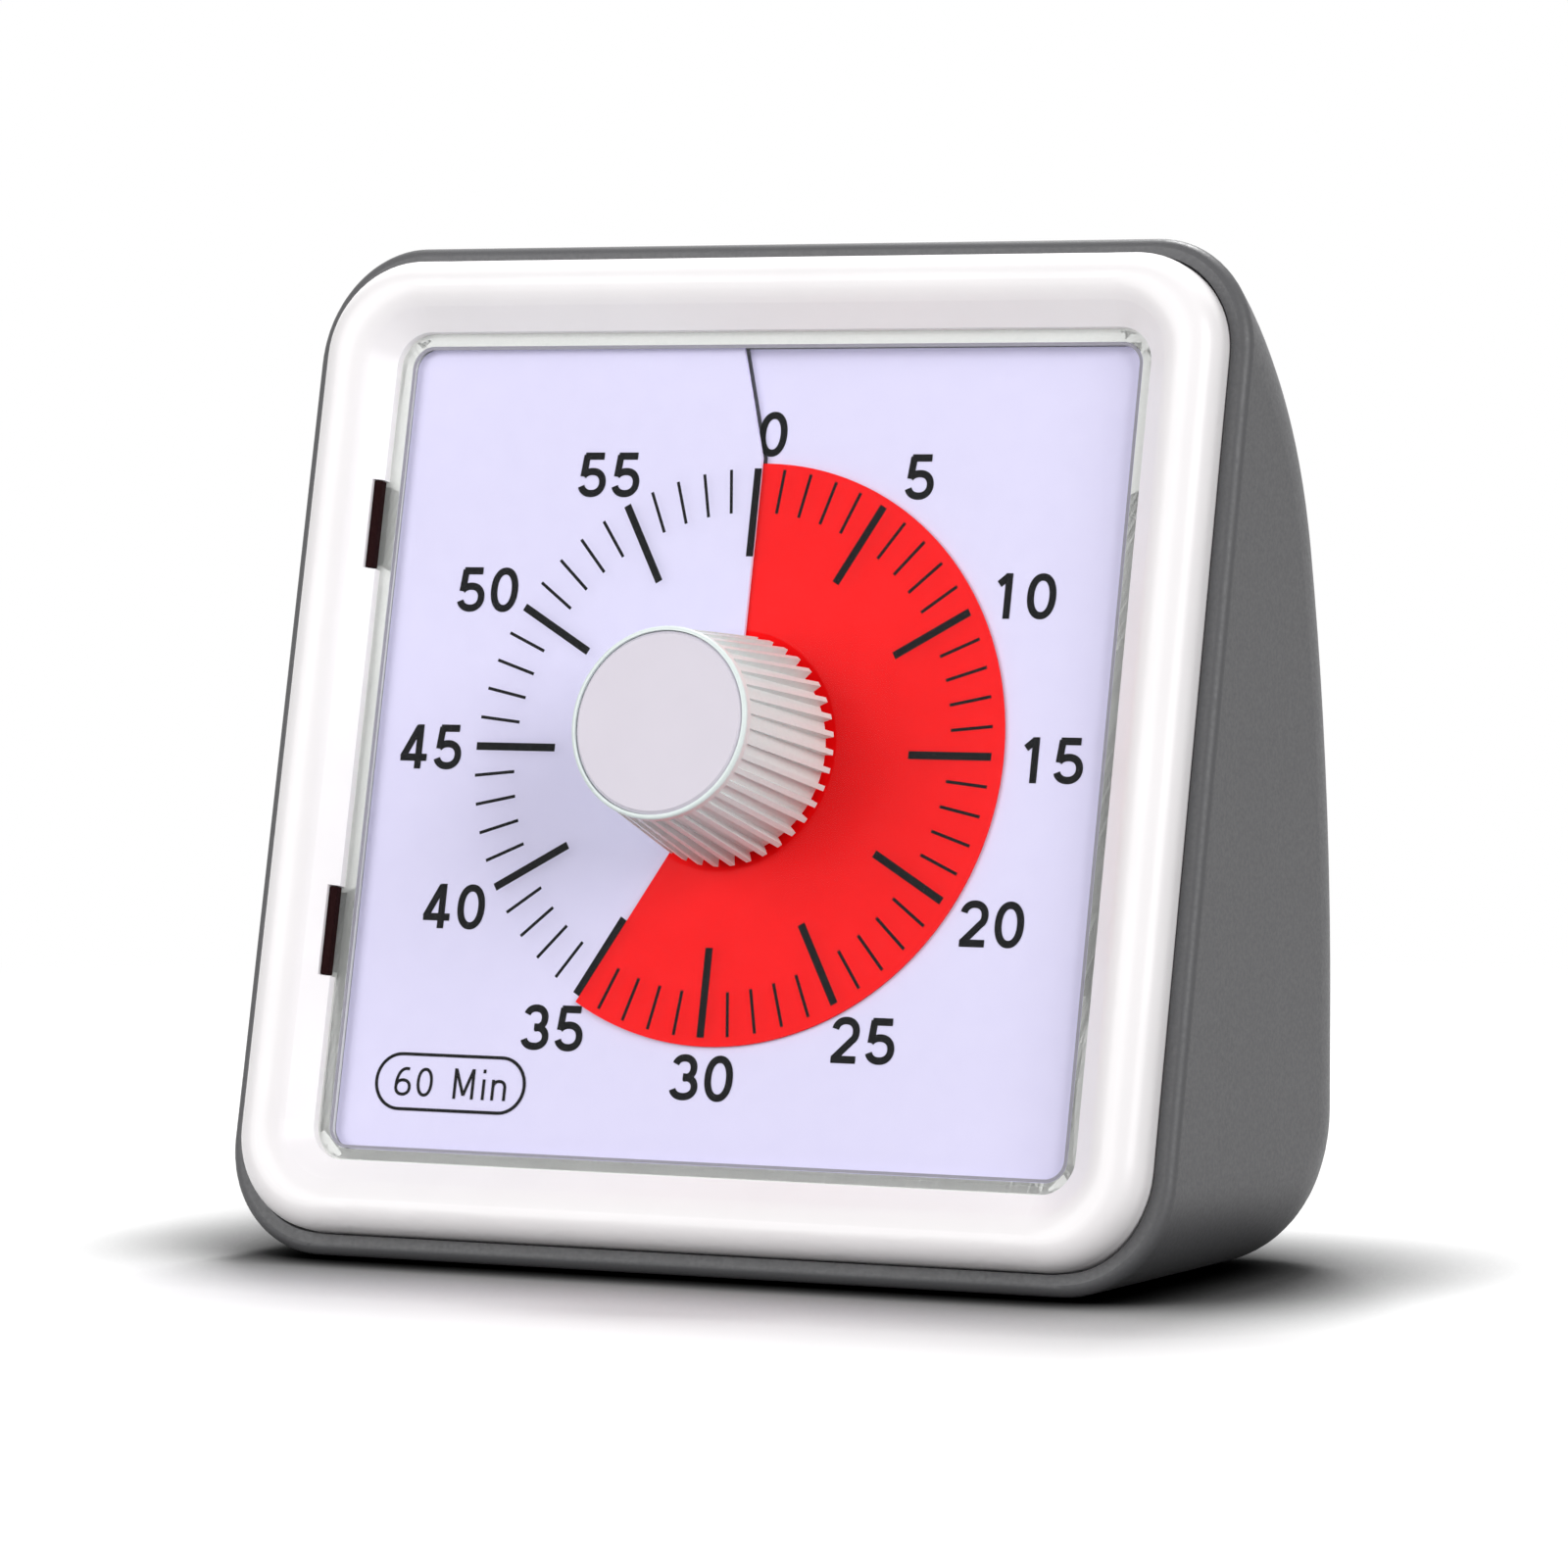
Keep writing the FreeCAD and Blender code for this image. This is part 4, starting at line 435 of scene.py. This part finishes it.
class DialPlace:
    """The dial's own frame: u right, v up the face, w out of it, in millimetres."""

    def __init__(self) -> None:
        """Read the knob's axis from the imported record."""
        turn = next(joint for joint in frame["joints"] if joint["name"] == "knob_turn")
        self.origin = Vector(turn["pos_m"])
        self.outward = -Vector(turn["axis"])
        self.right = Vector((1.0, 0.0, 0.0))
        self.up = self.outward.cross(self.right)

    def matrix(self) -> Matrix:
        """Return the matrix that takes dial metres to the row frame."""
        turn = Matrix((self.right, self.up, self.outward)).transposed().to_4x4()
        return Matrix.Translation(self.origin) @ turn

    def card_front(self, angle: float) -> float:
        """Return the w of the card's front face at a clockwise angle from the top."""
        return CARD_LEVEL + WIND_PITCH * (angle % FULL_TURN) / FULL_TURN + CARD_THICKNESS / 2

    def settle(self, piece: bpy.types.Object, store: FinishStore, finish: Finish) -> None:
        """Take a piece modelled flat in the dial's frame to its place on the case and dress it.

        Args:
            piece: The piece, in dial metres.
            store: Where the built materials are kept.
            finish: What the piece is made of.
        """
        apply_place(piece)
        piece.data.transform(self.matrix())
        piece.data.update()
        store.dress(piece, finish)
        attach(piece, "case")
        LOG.info("%s: %d faces", piece.name, len(piece.data.polygons))


# Prints on the card and on the back of the lens

# Degrees between two points of a rounded stroke
ARC_STEP = 8
# Corner radius of a round-ended frame, as a share of its height: just under a half
ROUND_END = 0.498
# Edges along a rounded corner of a printed frame
CORNER_STEPS = 12
# Rings in a quarter of the pen's round section
PEN_STEPS = 2
# Ends of a stroke that lie within this share of the pen's width are one point
CLOSED_SHARE = 0.1


@dataclass(frozen=True)
class Line:
    """A straight stroke, in shares of a figure's height.

    Args:
        start: One end.
        end: The other.
    """

    start: Point
    end: Point

    def points(self) -> list[Point]:
        """Return the two ends."""
        return [self.start, self.end]


@dataclass(frozen=True)
class Arc:
    """A stroke along an ellipse, in shares of a figure's height and degrees from the right.

    Args:
        centre: Middle of the ellipse.
        radii: Half its width and half its height.
        start: Angle where the stroke starts.
        end: Angle where it ends.
        power: Below one for fuller shoulders than an ellipse has.
    """

    centre: Point
    radii: Point
    start: float
    end: float
    power: float = 0.92

    def points(self) -> list[Point]:
        """Place points along the arc, about ARC_STEP degrees apart.

        Returns:
            The points, from the start to the end.
        """
        count = round(abs(self.end - self.start) / ARC_STEP)
        spots = []
        for index in range(count + 1):
            angle = math.radians(self.start + (self.end - self.start) * index / count)
            across = math.copysign(abs(math.cos(angle)) ** self.power, math.cos(angle))
            along = math.copysign(abs(math.sin(angle)) ** self.power, math.sin(angle))
            spots.append((self.centre[0] + self.radii[0] * across, self.centre[1] + self.radii[1] * along))
        return spots


@dataclass(frozen=True)
class Figure:
    """One figure or letter of the dial's lettering, drawn with a pen of even width.

    Args:
        room: Share of the height that it takes along the line.
        strokes: The pen's path, in shares of the height, from the middle of the foot line.
    """

    room: float
    strokes: tuple[Line | Arc, ...]


FIGURES = {
    " ": Figure(0.55, ()),
    "0": Figure(0.79, (Arc((0.0, 0.5), (0.245, 0.425), 0.0, 360.0),)),
    "1": Figure(0.79, (Line((0.04, 0.0), (0.04, 1.0)), Line((0.02, 0.93), (-0.17, 0.76)))),
    "2": Figure(0.79, (Arc((0.0, 0.68), (0.235, 0.245), 168.0, -45.0), Line((0.17, 0.51), (-0.21, 0.1)),
                       Line((-0.28, 0.075), (0.27, 0.075)))),
    "3": Figure(0.79, (Arc((-0.01, 0.705), (0.215, 0.22), 160.0, -90.0),
                       Arc((0.0, 0.29), (0.25, 0.215), 95.0, -165.0))),
    "4": Figure(0.79, (Line((0.1, 0.0), (0.1, 1.0)), Line((-0.32, 0.255), (0.3, 0.255)),
                       Line((0.07, 0.95), (-0.27, 0.25)))),
    "5": Figure(0.79, (Line((-0.2, 0.925), (0.24, 0.925)), Line((-0.16, 0.95), (-0.205, 0.46)),
                       Arc((0.0, 0.325), (0.25, 0.25), 145.0, -162.0))),
    "6": Figure(0.84, (Arc((0.0, 0.31), (0.255, 0.235), 0.0, 360.0),
                       Arc((0.11, 0.31), (0.365, 0.615), 180.0, 76.0))),
    "M": Figure(1.05, (Line((-0.33, 0.0), (-0.33, 1.0)), Line((0.33, 0.0), (0.33, 1.0)),
                       Line((-0.32, 0.98), (0.0, 0.12)), Line((0.32, 0.98), (0.0, 0.12)))),
    "i": Figure(0.42, (Line((0.0, 0.0), (0.0, 0.68)), Line((0.0, 0.88), (0.0, 1.0)))),
    "n": Figure(0.72, (Line((-0.22, 0.0), (-0.22, 0.68)), Arc((0.0, 0.42), (0.22, 0.215), 180.0, 0.0),
                       Line((0.22, 0.43), (0.22, 0.0)))),
}


@dataclass
class Lettering:
    """Figures screen printed with strokes of even width.

    Args:
        height: Height of a figure.
        stroke: Width of the pen.
        stretch: How much wider the figures are drawn.
    """

    height: float
    stroke: float
    stretch: float = 1.0

    def write(self, words: str, u: float, v: float, w: float) -> bpy.types.Object:
        """Return words as a flat print, centred on a point of the dial.

        Args:
            words: What is written.
            u: Centre, to the right.
            v: Centre, upwards.
            w: Height of the print's underside.

        Returns:
            The mesh object in the dial's flat frame.
        """
        curve = bpy.data.curves.new("figures", "CURVE")
        curve.dimensions = "3D"
        curve.twist_mode = "Z_UP"
        curve.bevel_depth = self.stroke / 2 * MM
        curve.bevel_resolution = PEN_STEPS
        curve.use_fill_caps = True
        step = self.height * self.stretch
        start = -sum(FIGURES[letter].room for letter in words) / 2
        for letter in words:
            figure = FIGURES[letter]
            middle = start + figure.room / 2
            start += figure.room
            for stroke in figure.strokes:
                spots = [((middle + x) * step, (y - 0.5) * self.height) for x, y in stroke.points()]
                self.add_stroke(curve, spots)
        piece = bpy.data.objects.new("figures", curve)
        bpy.context.collection.objects.link(piece)
        select_only(piece)
        bpy.ops.object.convert(target="MESH")
        piece = bpy.context.object
        flat = Matrix.Diagonal((1.0, 1.0, INK_THICKNESS / self.stroke, 1.0))
        piece.data.transform(Matrix.Translation(Vector((u, v, w + INK_THICKNESS / 2)) * MM) @ flat)
        return piece

    def add_stroke(self, curve: bpy.types.Curve, spots: list[Point]) -> None:
        """Add one stroke to the curve, closed where its ends meet.

        Args:
            curve: The curve that gets it.
            spots: Its points, in millimetres.
        """
        closed = math.dist(spots[0], spots[-1]) < self.stroke * CLOSED_SHARE
        spots = spots[:-1] if closed else spots
        spline = curve.splines.new("POLY")
        spline.points.add(len(spots) - 1)
        for point, (x, y) in zip(spline.points, spots):
            point.co = (x * MM, y * MM, 0.0, 1.0)
        spline.use_cyclic_u = closed


@dataclass
class OutlinePrint:
    """A printed line along the inside of a rounded rectangle.

    Args:
        width: Outer width.
        height: Outer height.
        corner: Radius of the outer corners.
        line: Width of the line.
    """

    width: float
    height: float
    corner: float
    line: float

    def draw(self, u: float, v: float, w: float) -> bpy.types.Object:
        """Draw the line as a flat ring, centred on a point of the dial.

        Args:
            u: Centre, to the right.
            v: Centre, upwards.
            w: Height of the print's underside.

        Returns:
            The ring in the dial's flat frame.
        """
        deselect()
        bpy.ops.mesh.primitive_plane_add(size=1)
        ring = bpy.context.object
        ring.scale = (self.width * MM, self.height * MM, 1)
        apply_place(ring)
        bpy.ops.object.mode_set(mode="EDIT")
        bpy.ops.mesh.select_all(action="SELECT")
        bpy.ops.mesh.bevel(offset=self.corner * MM, segments=CORNER_STEPS, affect="VERTICES")
        bpy.ops.mesh.select_all(action="SELECT")
        bpy.ops.mesh.inset(thickness=self.line * MM)
        bpy.ops.mesh.delete(type="FACE")
        bpy.ops.mesh.select_all(action="SELECT")
        bpy.ops.mesh.extrude_region_move(TRANSFORM_OT_translate={"value": (0, 0, INK_THICKNESS * MM)})
        bpy.ops.mesh.select_all(action="SELECT")
        bpy.ops.mesh.normals_make_consistent(inside=False)
        bpy.ops.object.mode_set(mode="OBJECT")
        ring.data.transform(Matrix.Translation(Vector((u, v, w)) * MM))
        return ring


@dataclass
class MinuteScale:
    """Sixty minute marks, screen printed on the back of the lens, in front of the film.

    Args:
        outer: Radius of the marks' outer ends.
        long_inner: Inner radius of the five minute marks.
        short_inner: Inner radius of the minute marks.
        long_width: Width of a five minute mark.
        short_width: Width of a minute mark.
        feather: Inset of a mark's front, as a share of its width.
    """

    outer: float = 22.4
    long_inner: float = 15.4
    short_inner: float = 18.9
    long_width: float = 0.62
    short_width: float = 0.25
    feather: float = 0.1

    def mark(self, inner: float, width: float) -> bpy.types.Object:
        """Model one mark at zero minutes, with its front face inset.

        Args:
            inner: Radius of its inner end.
            width: Its width.

        Returns:
            The mark in the dial's flat frame.
        """
        middle = (self.outer + inner) / 2 * MM
        level = (LENS_BACK - INK_GAP - INK_THICKNESS / 2) * MM
        deselect()
        bpy.ops.mesh.primitive_cube_add(size=1, location=(0, middle, level))
        mark = bpy.context.object
        mark.scale = (width * MM, (self.outer - inner) * MM, INK_THICKNESS * MM)
        apply_place(mark)
        bpy.ops.object.mode_set(mode="EDIT")
        bpy.ops.mesh.select_mode(type="FACE")
        pick_faces(mark, Vector((0, 0, 1)))
        bpy.ops.mesh.inset(thickness=width * self.feather * MM)
        bpy.ops.object.mode_set(mode="OBJECT")
        return mark

    def ring(self, mark: bpy.types.Object, minutes: list[int], name: str) -> bpy.types.Object:
        """Copy a mark to each of the minutes and join the copies.

        Args:
            mark: The mark at zero minutes, which is used up.
            minutes: The minutes that get one.
            name: Name of the piece.

        Returns:
            The joined marks, which throw no shadow on the card.
        """
        copies = []
        for minute in minutes:
            turn = -math.radians(MINUTE_DEGREES * minute)
            copies.append(copy_to(mark, Matrix.Rotation(turn, 4, "Z")))
        bpy.data.objects.remove(mark)
        ring = join_pieces(copies, name)
        ring.visible_shadow = False
        return ring

    def build(self, place: DialPlace, store: FinishStore) -> None:
        """Model, place and dress all the marks.

        Args:
            place: The dial's frame.
            store: The built materials.
        """
        fives = list(range(0, HOUR, NUMBER_STEP))
        ones = [minute for minute in range(HOUR) if minute % NUMBER_STEP]
        place.settle(self.ring(self.mark(self.long_inner, self.long_width), fives, "five_minute_marks"),
                     store, INK)
        place.settle(self.ring(self.mark(self.short_inner, self.short_width), ones, "minute_marks"),
                     store, INK)


@dataclass
class MinuteNumbers:
    """The twelve numbers round the dial, printed on the card.

    Args:
        across: Radius of the ring towards 15 and 45.
        along: Radius of the ring towards 0 and 30.
        zero_shift: How far the zero stands to the right, on its side of the slit.
        height: Height of the figures.
        stroke: Width of the pen.
        stretch: How much wider the figures are drawn.
    """

    across: float = 26.9
    along: float = 25.4
    zero_shift: float = 0.35
    height: float = 3.55
    stroke: float = 0.58
    stretch: float = 1.07

    def build(self, place: DialPlace, store: FinishStore) -> None:
        """Write the numbers on the card, each upright.

        Args:
            place: The dial's frame.
            store: The built materials.
        """
        pen = Lettering(self.height, self.stroke, self.stretch)
        pieces = []
        for minute in range(0, HOUR, NUMBER_STEP):
            angle = MINUTE_DEGREES * minute
            u = self.across * math.sin(math.radians(angle)) + (0 if minute else self.zero_shift)
            v = self.along * math.cos(math.radians(angle))
            w = place.card_front(angle + MINUTE_DEGREES) + INK_GAP
            pieces.append(pen.write(str(minute), u, v, w))
        place.settle(join_pieces(pieces, "minute_numbers"), store, INK)


@dataclass
class RangeLabel:
    """The long round-ended frame with the timer's range in it.

    Args:
        u: Centre, to the right.
        v: Centre, upwards.
        width: Outer width.
        height: Outer height.
        line: Width of the line.
        words: What is written in it.
        word_height: Height of the words.
    """

    u: float = -22.0
    v: float = -26.7
    width: float = 13.5
    height: float = 4.6
    line: float = 0.25
    words: str = "60 Min"
    word_height: float = 2.4

    def build(self, place: DialPlace, store: FinishStore) -> None:
        """Draw the frame, write the words in it, place and dress them.

        Args:
            place: The dial's frame.
            store: The built materials.
        """
        left_end = math.degrees(math.atan2(self.u - self.width / 2, self.v))
        level = place.card_front(left_end) + INK_GAP
        corner = self.height * ROUND_END
        ring = OutlinePrint(self.width, self.height, corner, self.line).draw(self.u, self.v, level)
        words = Lettering(self.word_height, self.line).write(self.words, self.u, self.v, level)
        place.settle(join_pieces([ring, words], "range_label"), store, INK)


@dataclass
class WindowLine:
    """The grey line printed round the window, on the back of the lens: painted shade that stands in for the
    shadow line where the card meets the window's edge.

    Args:
        line: Width of the line.
        clear: Air between the line and the frame.
    """

    line: float = 0.24
    clear: float = 0.04

    def build(self, place: DialPlace, store: FinishStore) -> None:
        """Draw, place and dress the line.

        Args:
            place: The dial's frame.
            store: The built materials.
        """
        outline = OutlinePrint(WINDOW_WIDTH - 2 * self.clear, WINDOW_HEIGHT - 2 * self.clear,
                               WINDOW_CORNER - self.clear, self.line)
        ring = outline.draw(0, 0, LENS_BACK - INK_GAP - INK_THICKNESS)
        # Painted shade: this grey ring stands in for the shadow line at the window's edge.
        place.settle(join_pieces([ring], "window_shade_line"), store, SHADE_LINE_INK)


@dataclass
class LatchPads:
    """Dark foam pads in the two open slots of the bezel, over the lens tabs; their near-black colour is
    partly painted shade, standing in for the shade inside the slots.

    Args:
        near: Distance of a pad's inner face from the dial's middle.
        far: Distance of its outer face.
        length: Length along the slot.
        low: Underside, on the tab.
        high: Top, level with the slope.
        centre: Middle height of the pair.
        pitch: Distance between the two.
        rounding: Radius of a pad's edges.
    """

    near: float = 32.97
    far: float = 33.68
    length: float = 7.05
    low: float = -1.48
    high: float = -0.72
    centre: float = 1.2
    pitch: float = 32.8
    rounding: float = 0.08

    def build(self, place: DialPlace, store: FinishStore) -> None:
        """Model one pad, copy it into both slots and join them.

        Args:
            place: The dial's frame.
            store: The built materials.
        """
        deselect()
        bpy.ops.mesh.primitive_cube_add(size=1)
        pad = bpy.context.object
        pad.scale = ((self.far - self.near) * MM, self.length * MM, (self.high - self.low) * MM)
        apply_place(pad)
        bpy.ops.object.mode_set(mode="EDIT")
        bpy.ops.mesh.select_all(action="SELECT")
        bpy.ops.mesh.bevel(offset=self.rounding * MM, segments=2, affect="EDGES")
        bpy.ops.object.mode_set(mode="OBJECT")
        middle = Vector((-(self.near + self.far) / 2, self.centre, (self.low + self.high) / 2)) * MM
        step = Vector((0, self.pitch / 2, 0)) * MM
        copies = [copy_to(pad, Matrix.Translation(middle + end * step)) for end in (-1, 1)]
        bpy.data.objects.remove(pad)
        # Painted shade: the pads' near-black colour stands in for the shade inside the slots.
        place.settle(join_pieces(copies, "latch_pads_slot_shade"), store, PAD_FOAM_AND_SLOT_SHADE)


# Camera and studio

@dataclass(frozen=True)
class PhotoView:
    """The camera where the photograph's camera stood.

    Args:
        azimuth: Degrees round from straight ahead, towards +X.
        elevation: Degrees above the table.
        focal_px: Focal length in pixels of the photograph.
        distance: From the dial's middle, in metres.
        shift_mm: Where the camera stands beside and above its line.
    """

    azimuth: float = 27.0
    elevation: float = 2.624
    focal_px: float = 7457.5
    distance: float = 0.56356
    shift_mm: tuple[float, float] = (5.055, -2.864)

    def build(self, place: DialPlace) -> None:
        """Make the camera and set it.

        Args:
            place: The dial's frame, which the camera looks at.
        """
        around = math.radians(self.azimuth)
        above = math.radians(self.elevation)
        level = math.cos(above)
        back = Vector((math.sin(around) * level, -math.cos(around) * level, math.sin(above)))
        right = Vector((math.cos(around), math.sin(around), 0))
        up = back.cross(right)
        spot = place.origin + back * self.distance + (right * self.shift_mm[0] + up * self.shift_mm[1]) * MM
        deselect()
        bpy.ops.object.camera_add(location=spot)
        camera = bpy.context.object
        camera.name = "photo_camera"
        camera.rotation_euler = Matrix((right, up, back)).transposed().to_euler()
        camera.data.sensor_width = SENSOR_MM
        camera.data.lens = self.focal_px * camera.data.sensor_width / PHOTO_PX
        camera.data.clip_start = 0.01
        camera.data.clip_end = 50.0
        bpy.context.scene.camera = camera
        LOG.info("camera at %s", [round(value, 4) for value in spot])


@dataclass(frozen=True)
class Lamp:
    """One square soft lamp that faces the timer.

    Args:
        name: What it is for.
        spot: Where it hangs, in metres.
        size: Edge of its square.
        power: Watts.
    """

    name: str
    spot: tuple[float, float, float]
    size: float
    power: float

    def hang(self) -> None:
        """Hang the lamp and turn it to the timer."""
        deselect()
        bpy.ops.object.light_add(type="AREA", location=self.spot)
        lamp = bpy.context.object
        lamp.name = self.name
        lamp.data.shape = "SQUARE"
        lamp.data.size = self.size
        lamp.data.energy = self.power
        aim = Vector((0, 0, LAMP_AIM)) - Vector(self.spot)
        lamp.rotation_euler = aim.to_track_quat("-Z", "Y").to_euler()


# Height that the lamps are turned to, and the lamps: key from the front left, side, back for the shadow
LAMP_AIM = 0.04
LAMPS = (
    Lamp("key_lamp", (-0.6, -1.0, 0.34), 0.9, 8.6),
    Lamp("side_lamp", (0.83, -0.48, 0.45), 0.6, 6.0),
    Lamp("back_lamp", (-0.15, 0.5, 1.0), 0.3, 11.0),
)


@dataclass
class Studio:
    """Pale floor with a painted contact shadow, soft lamps and a plain world.

    Args:
        floor_size: Edge of the floor in metres.
        fade: Distances from the timer between which the floor turns to plain white.
        contact_reach: How far the painted contact shadow reaches out from the timer.
        contact_power: How steeply the painted contact shadow falls off.
        sky: World light level.
    """

    floor_size: float = 12.0
    fade: tuple[float, float] = (0.16, 0.34)
    contact_reach: float = 0.02
    contact_power: float = 3.0
    sky: float = 0.3

    def seen(self, tree: bpy.types.NodeTree) -> bpy.types.NodeSocket:
        """Tell the rays of the camera and of mirror or clear surfaces from others.

        Args:
            tree: The node tree that gets the nodes.

        Returns:
            A socket with one for such a ray, else zero.
        """
        path = add_node(tree, "ShaderNodeLightPath")
        mirrored = add_node(tree, "ShaderNodeMath", {"operation": "MAXIMUM"}, {
            0: path.outputs["Is Glossy Ray"], 1: path.outputs["Is Transmission Ray"]})
        every = add_node(tree, "ShaderNodeMath", {"operation": "MAXIMUM"}, {
            0: path.outputs["Is Camera Ray"], 1: mirrored.outputs[0]})
        return every.outputs[0]

    def floor(self) -> None:
        """Lay the floor: white paper that keeps the lamps' shadow, with a painted contact shadow near the
        timer, and ends in plain white.
        """
        deselect()
        bpy.ops.mesh.primitive_plane_add(size=self.floor_size, location=(0, 0, 0))
        floor = bpy.context.object
        floor.name = "studio_floor"
        material = bpy.data.materials.new("matt_white_paper")
        material.use_nodes = True
        tree = material.node_tree
        paper = tree.nodes["Principled BSDF"]
        paper.inputs["Roughness"].default_value = 1.0
        paper.inputs["Specular IOR Level"].default_value = 0.0
        paper.inputs["Base Color"].default_value = linear("#efefef")
        place = add_node(tree, "ShaderNodeTexCoord").outputs["Object"]
        away = add_node(tree, "ShaderNodeVectorMath", {"operation": "LENGTH"}, {0: place})
        # Painted shadow: ambient occlusion near the timer mixes the paper towards black, a contact shadow
        # drawn into the floor's colour rather than cast by a lamp.
        near = add_node(tree, "ShaderNodeAmbientOcclusion", {"samples": 16}, {
            "Distance": self.contact_reach})
        contact = add_node(tree, "ShaderNodeMath", {"operation": "POWER"}, {
            0: near.outputs["AO"], 1: self.contact_power})
        dark = add_node(tree, "ShaderNodeBsdfDiffuse", {}, {"Color": linear("#000000")})
        with_painted_shadow = add_node(tree, "ShaderNodeMixShader", {}, {
            0: contact.outputs[0], 1: dark.outputs[0], 2: paper.outputs[0]})
        share = add_node(tree, "ShaderNodeMapRange", {"interpolation_type": "SMOOTHSTEP"}, {
            "Value": away.outputs["Value"], "From Min": self.fade[0], "From Max": self.fade[1]})
        glow = add_node(tree, "ShaderNodeEmission", {}, {"Color": linear("#ffffff"), "Strength": 1.0})
        front = add_node(tree, "ShaderNodeMixShader", {}, {
            0: share.outputs["Result"], 1: with_painted_shadow.outputs[0], 2: glow.outputs[0]})
        dull = add_node(tree, "ShaderNodeBsdfDiffuse", {}, {"Color": linear("#8c8c8c")})
        both = add_node(tree, "ShaderNodeMixShader", {}, {
            0: self.seen(tree), 1: dull.outputs[0], 2: front.outputs[0]})
        tree.links.new(both.outputs[0], tree.nodes["Material Output"].inputs["Surface"])
        floor.data.materials.append(material)

    def world(self) -> None:
        """Give an even soft light, seen as white."""
        world = bpy.data.worlds.new("studio_world")
        bpy.context.scene.world = world
        world.use_nodes = True
        tree = world.node_tree
        ground = tree.nodes["Background"]
        ground.inputs["Color"].default_value = linear("#ffffff")
        ground.inputs["Strength"].default_value = self.sky
        white = add_node(tree, "ShaderNodeBackground", {}, {"Color": linear("#ffffff"), "Strength": 1.0})
        mix = add_node(tree, "ShaderNodeMixShader", {}, {
            0: self.seen(tree), 1: ground.outputs[0], 2: white.outputs[0]})
        tree.links.new(mix.outputs[0], tree.nodes["World Output"].inputs["Surface"])

    def build(self) -> None:
        """Set up the floor, the lamps, the world and the view transform."""
        self.floor()
        for lamp in LAMPS:
            lamp.hang()
        self.world()
        bpy.context.scene.view_settings.view_transform = "Standard"


def main() -> None:
    """Dress the timer and set the studio."""
    logging.basicConfig(level=logging.INFO)
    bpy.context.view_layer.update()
    store = FinishStore()
    place = DialPlace()
    store.dress_nodes()
    PhotoView().build(place)
    MinuteScale().build(place, store)
    MinuteNumbers().build(place, store)
    RangeLabel().build(place, store)
    WindowLine().build(place, store)
    LatchPads().build(place, store)
    Studio().build()


if __name__ == "__main__":
    main()
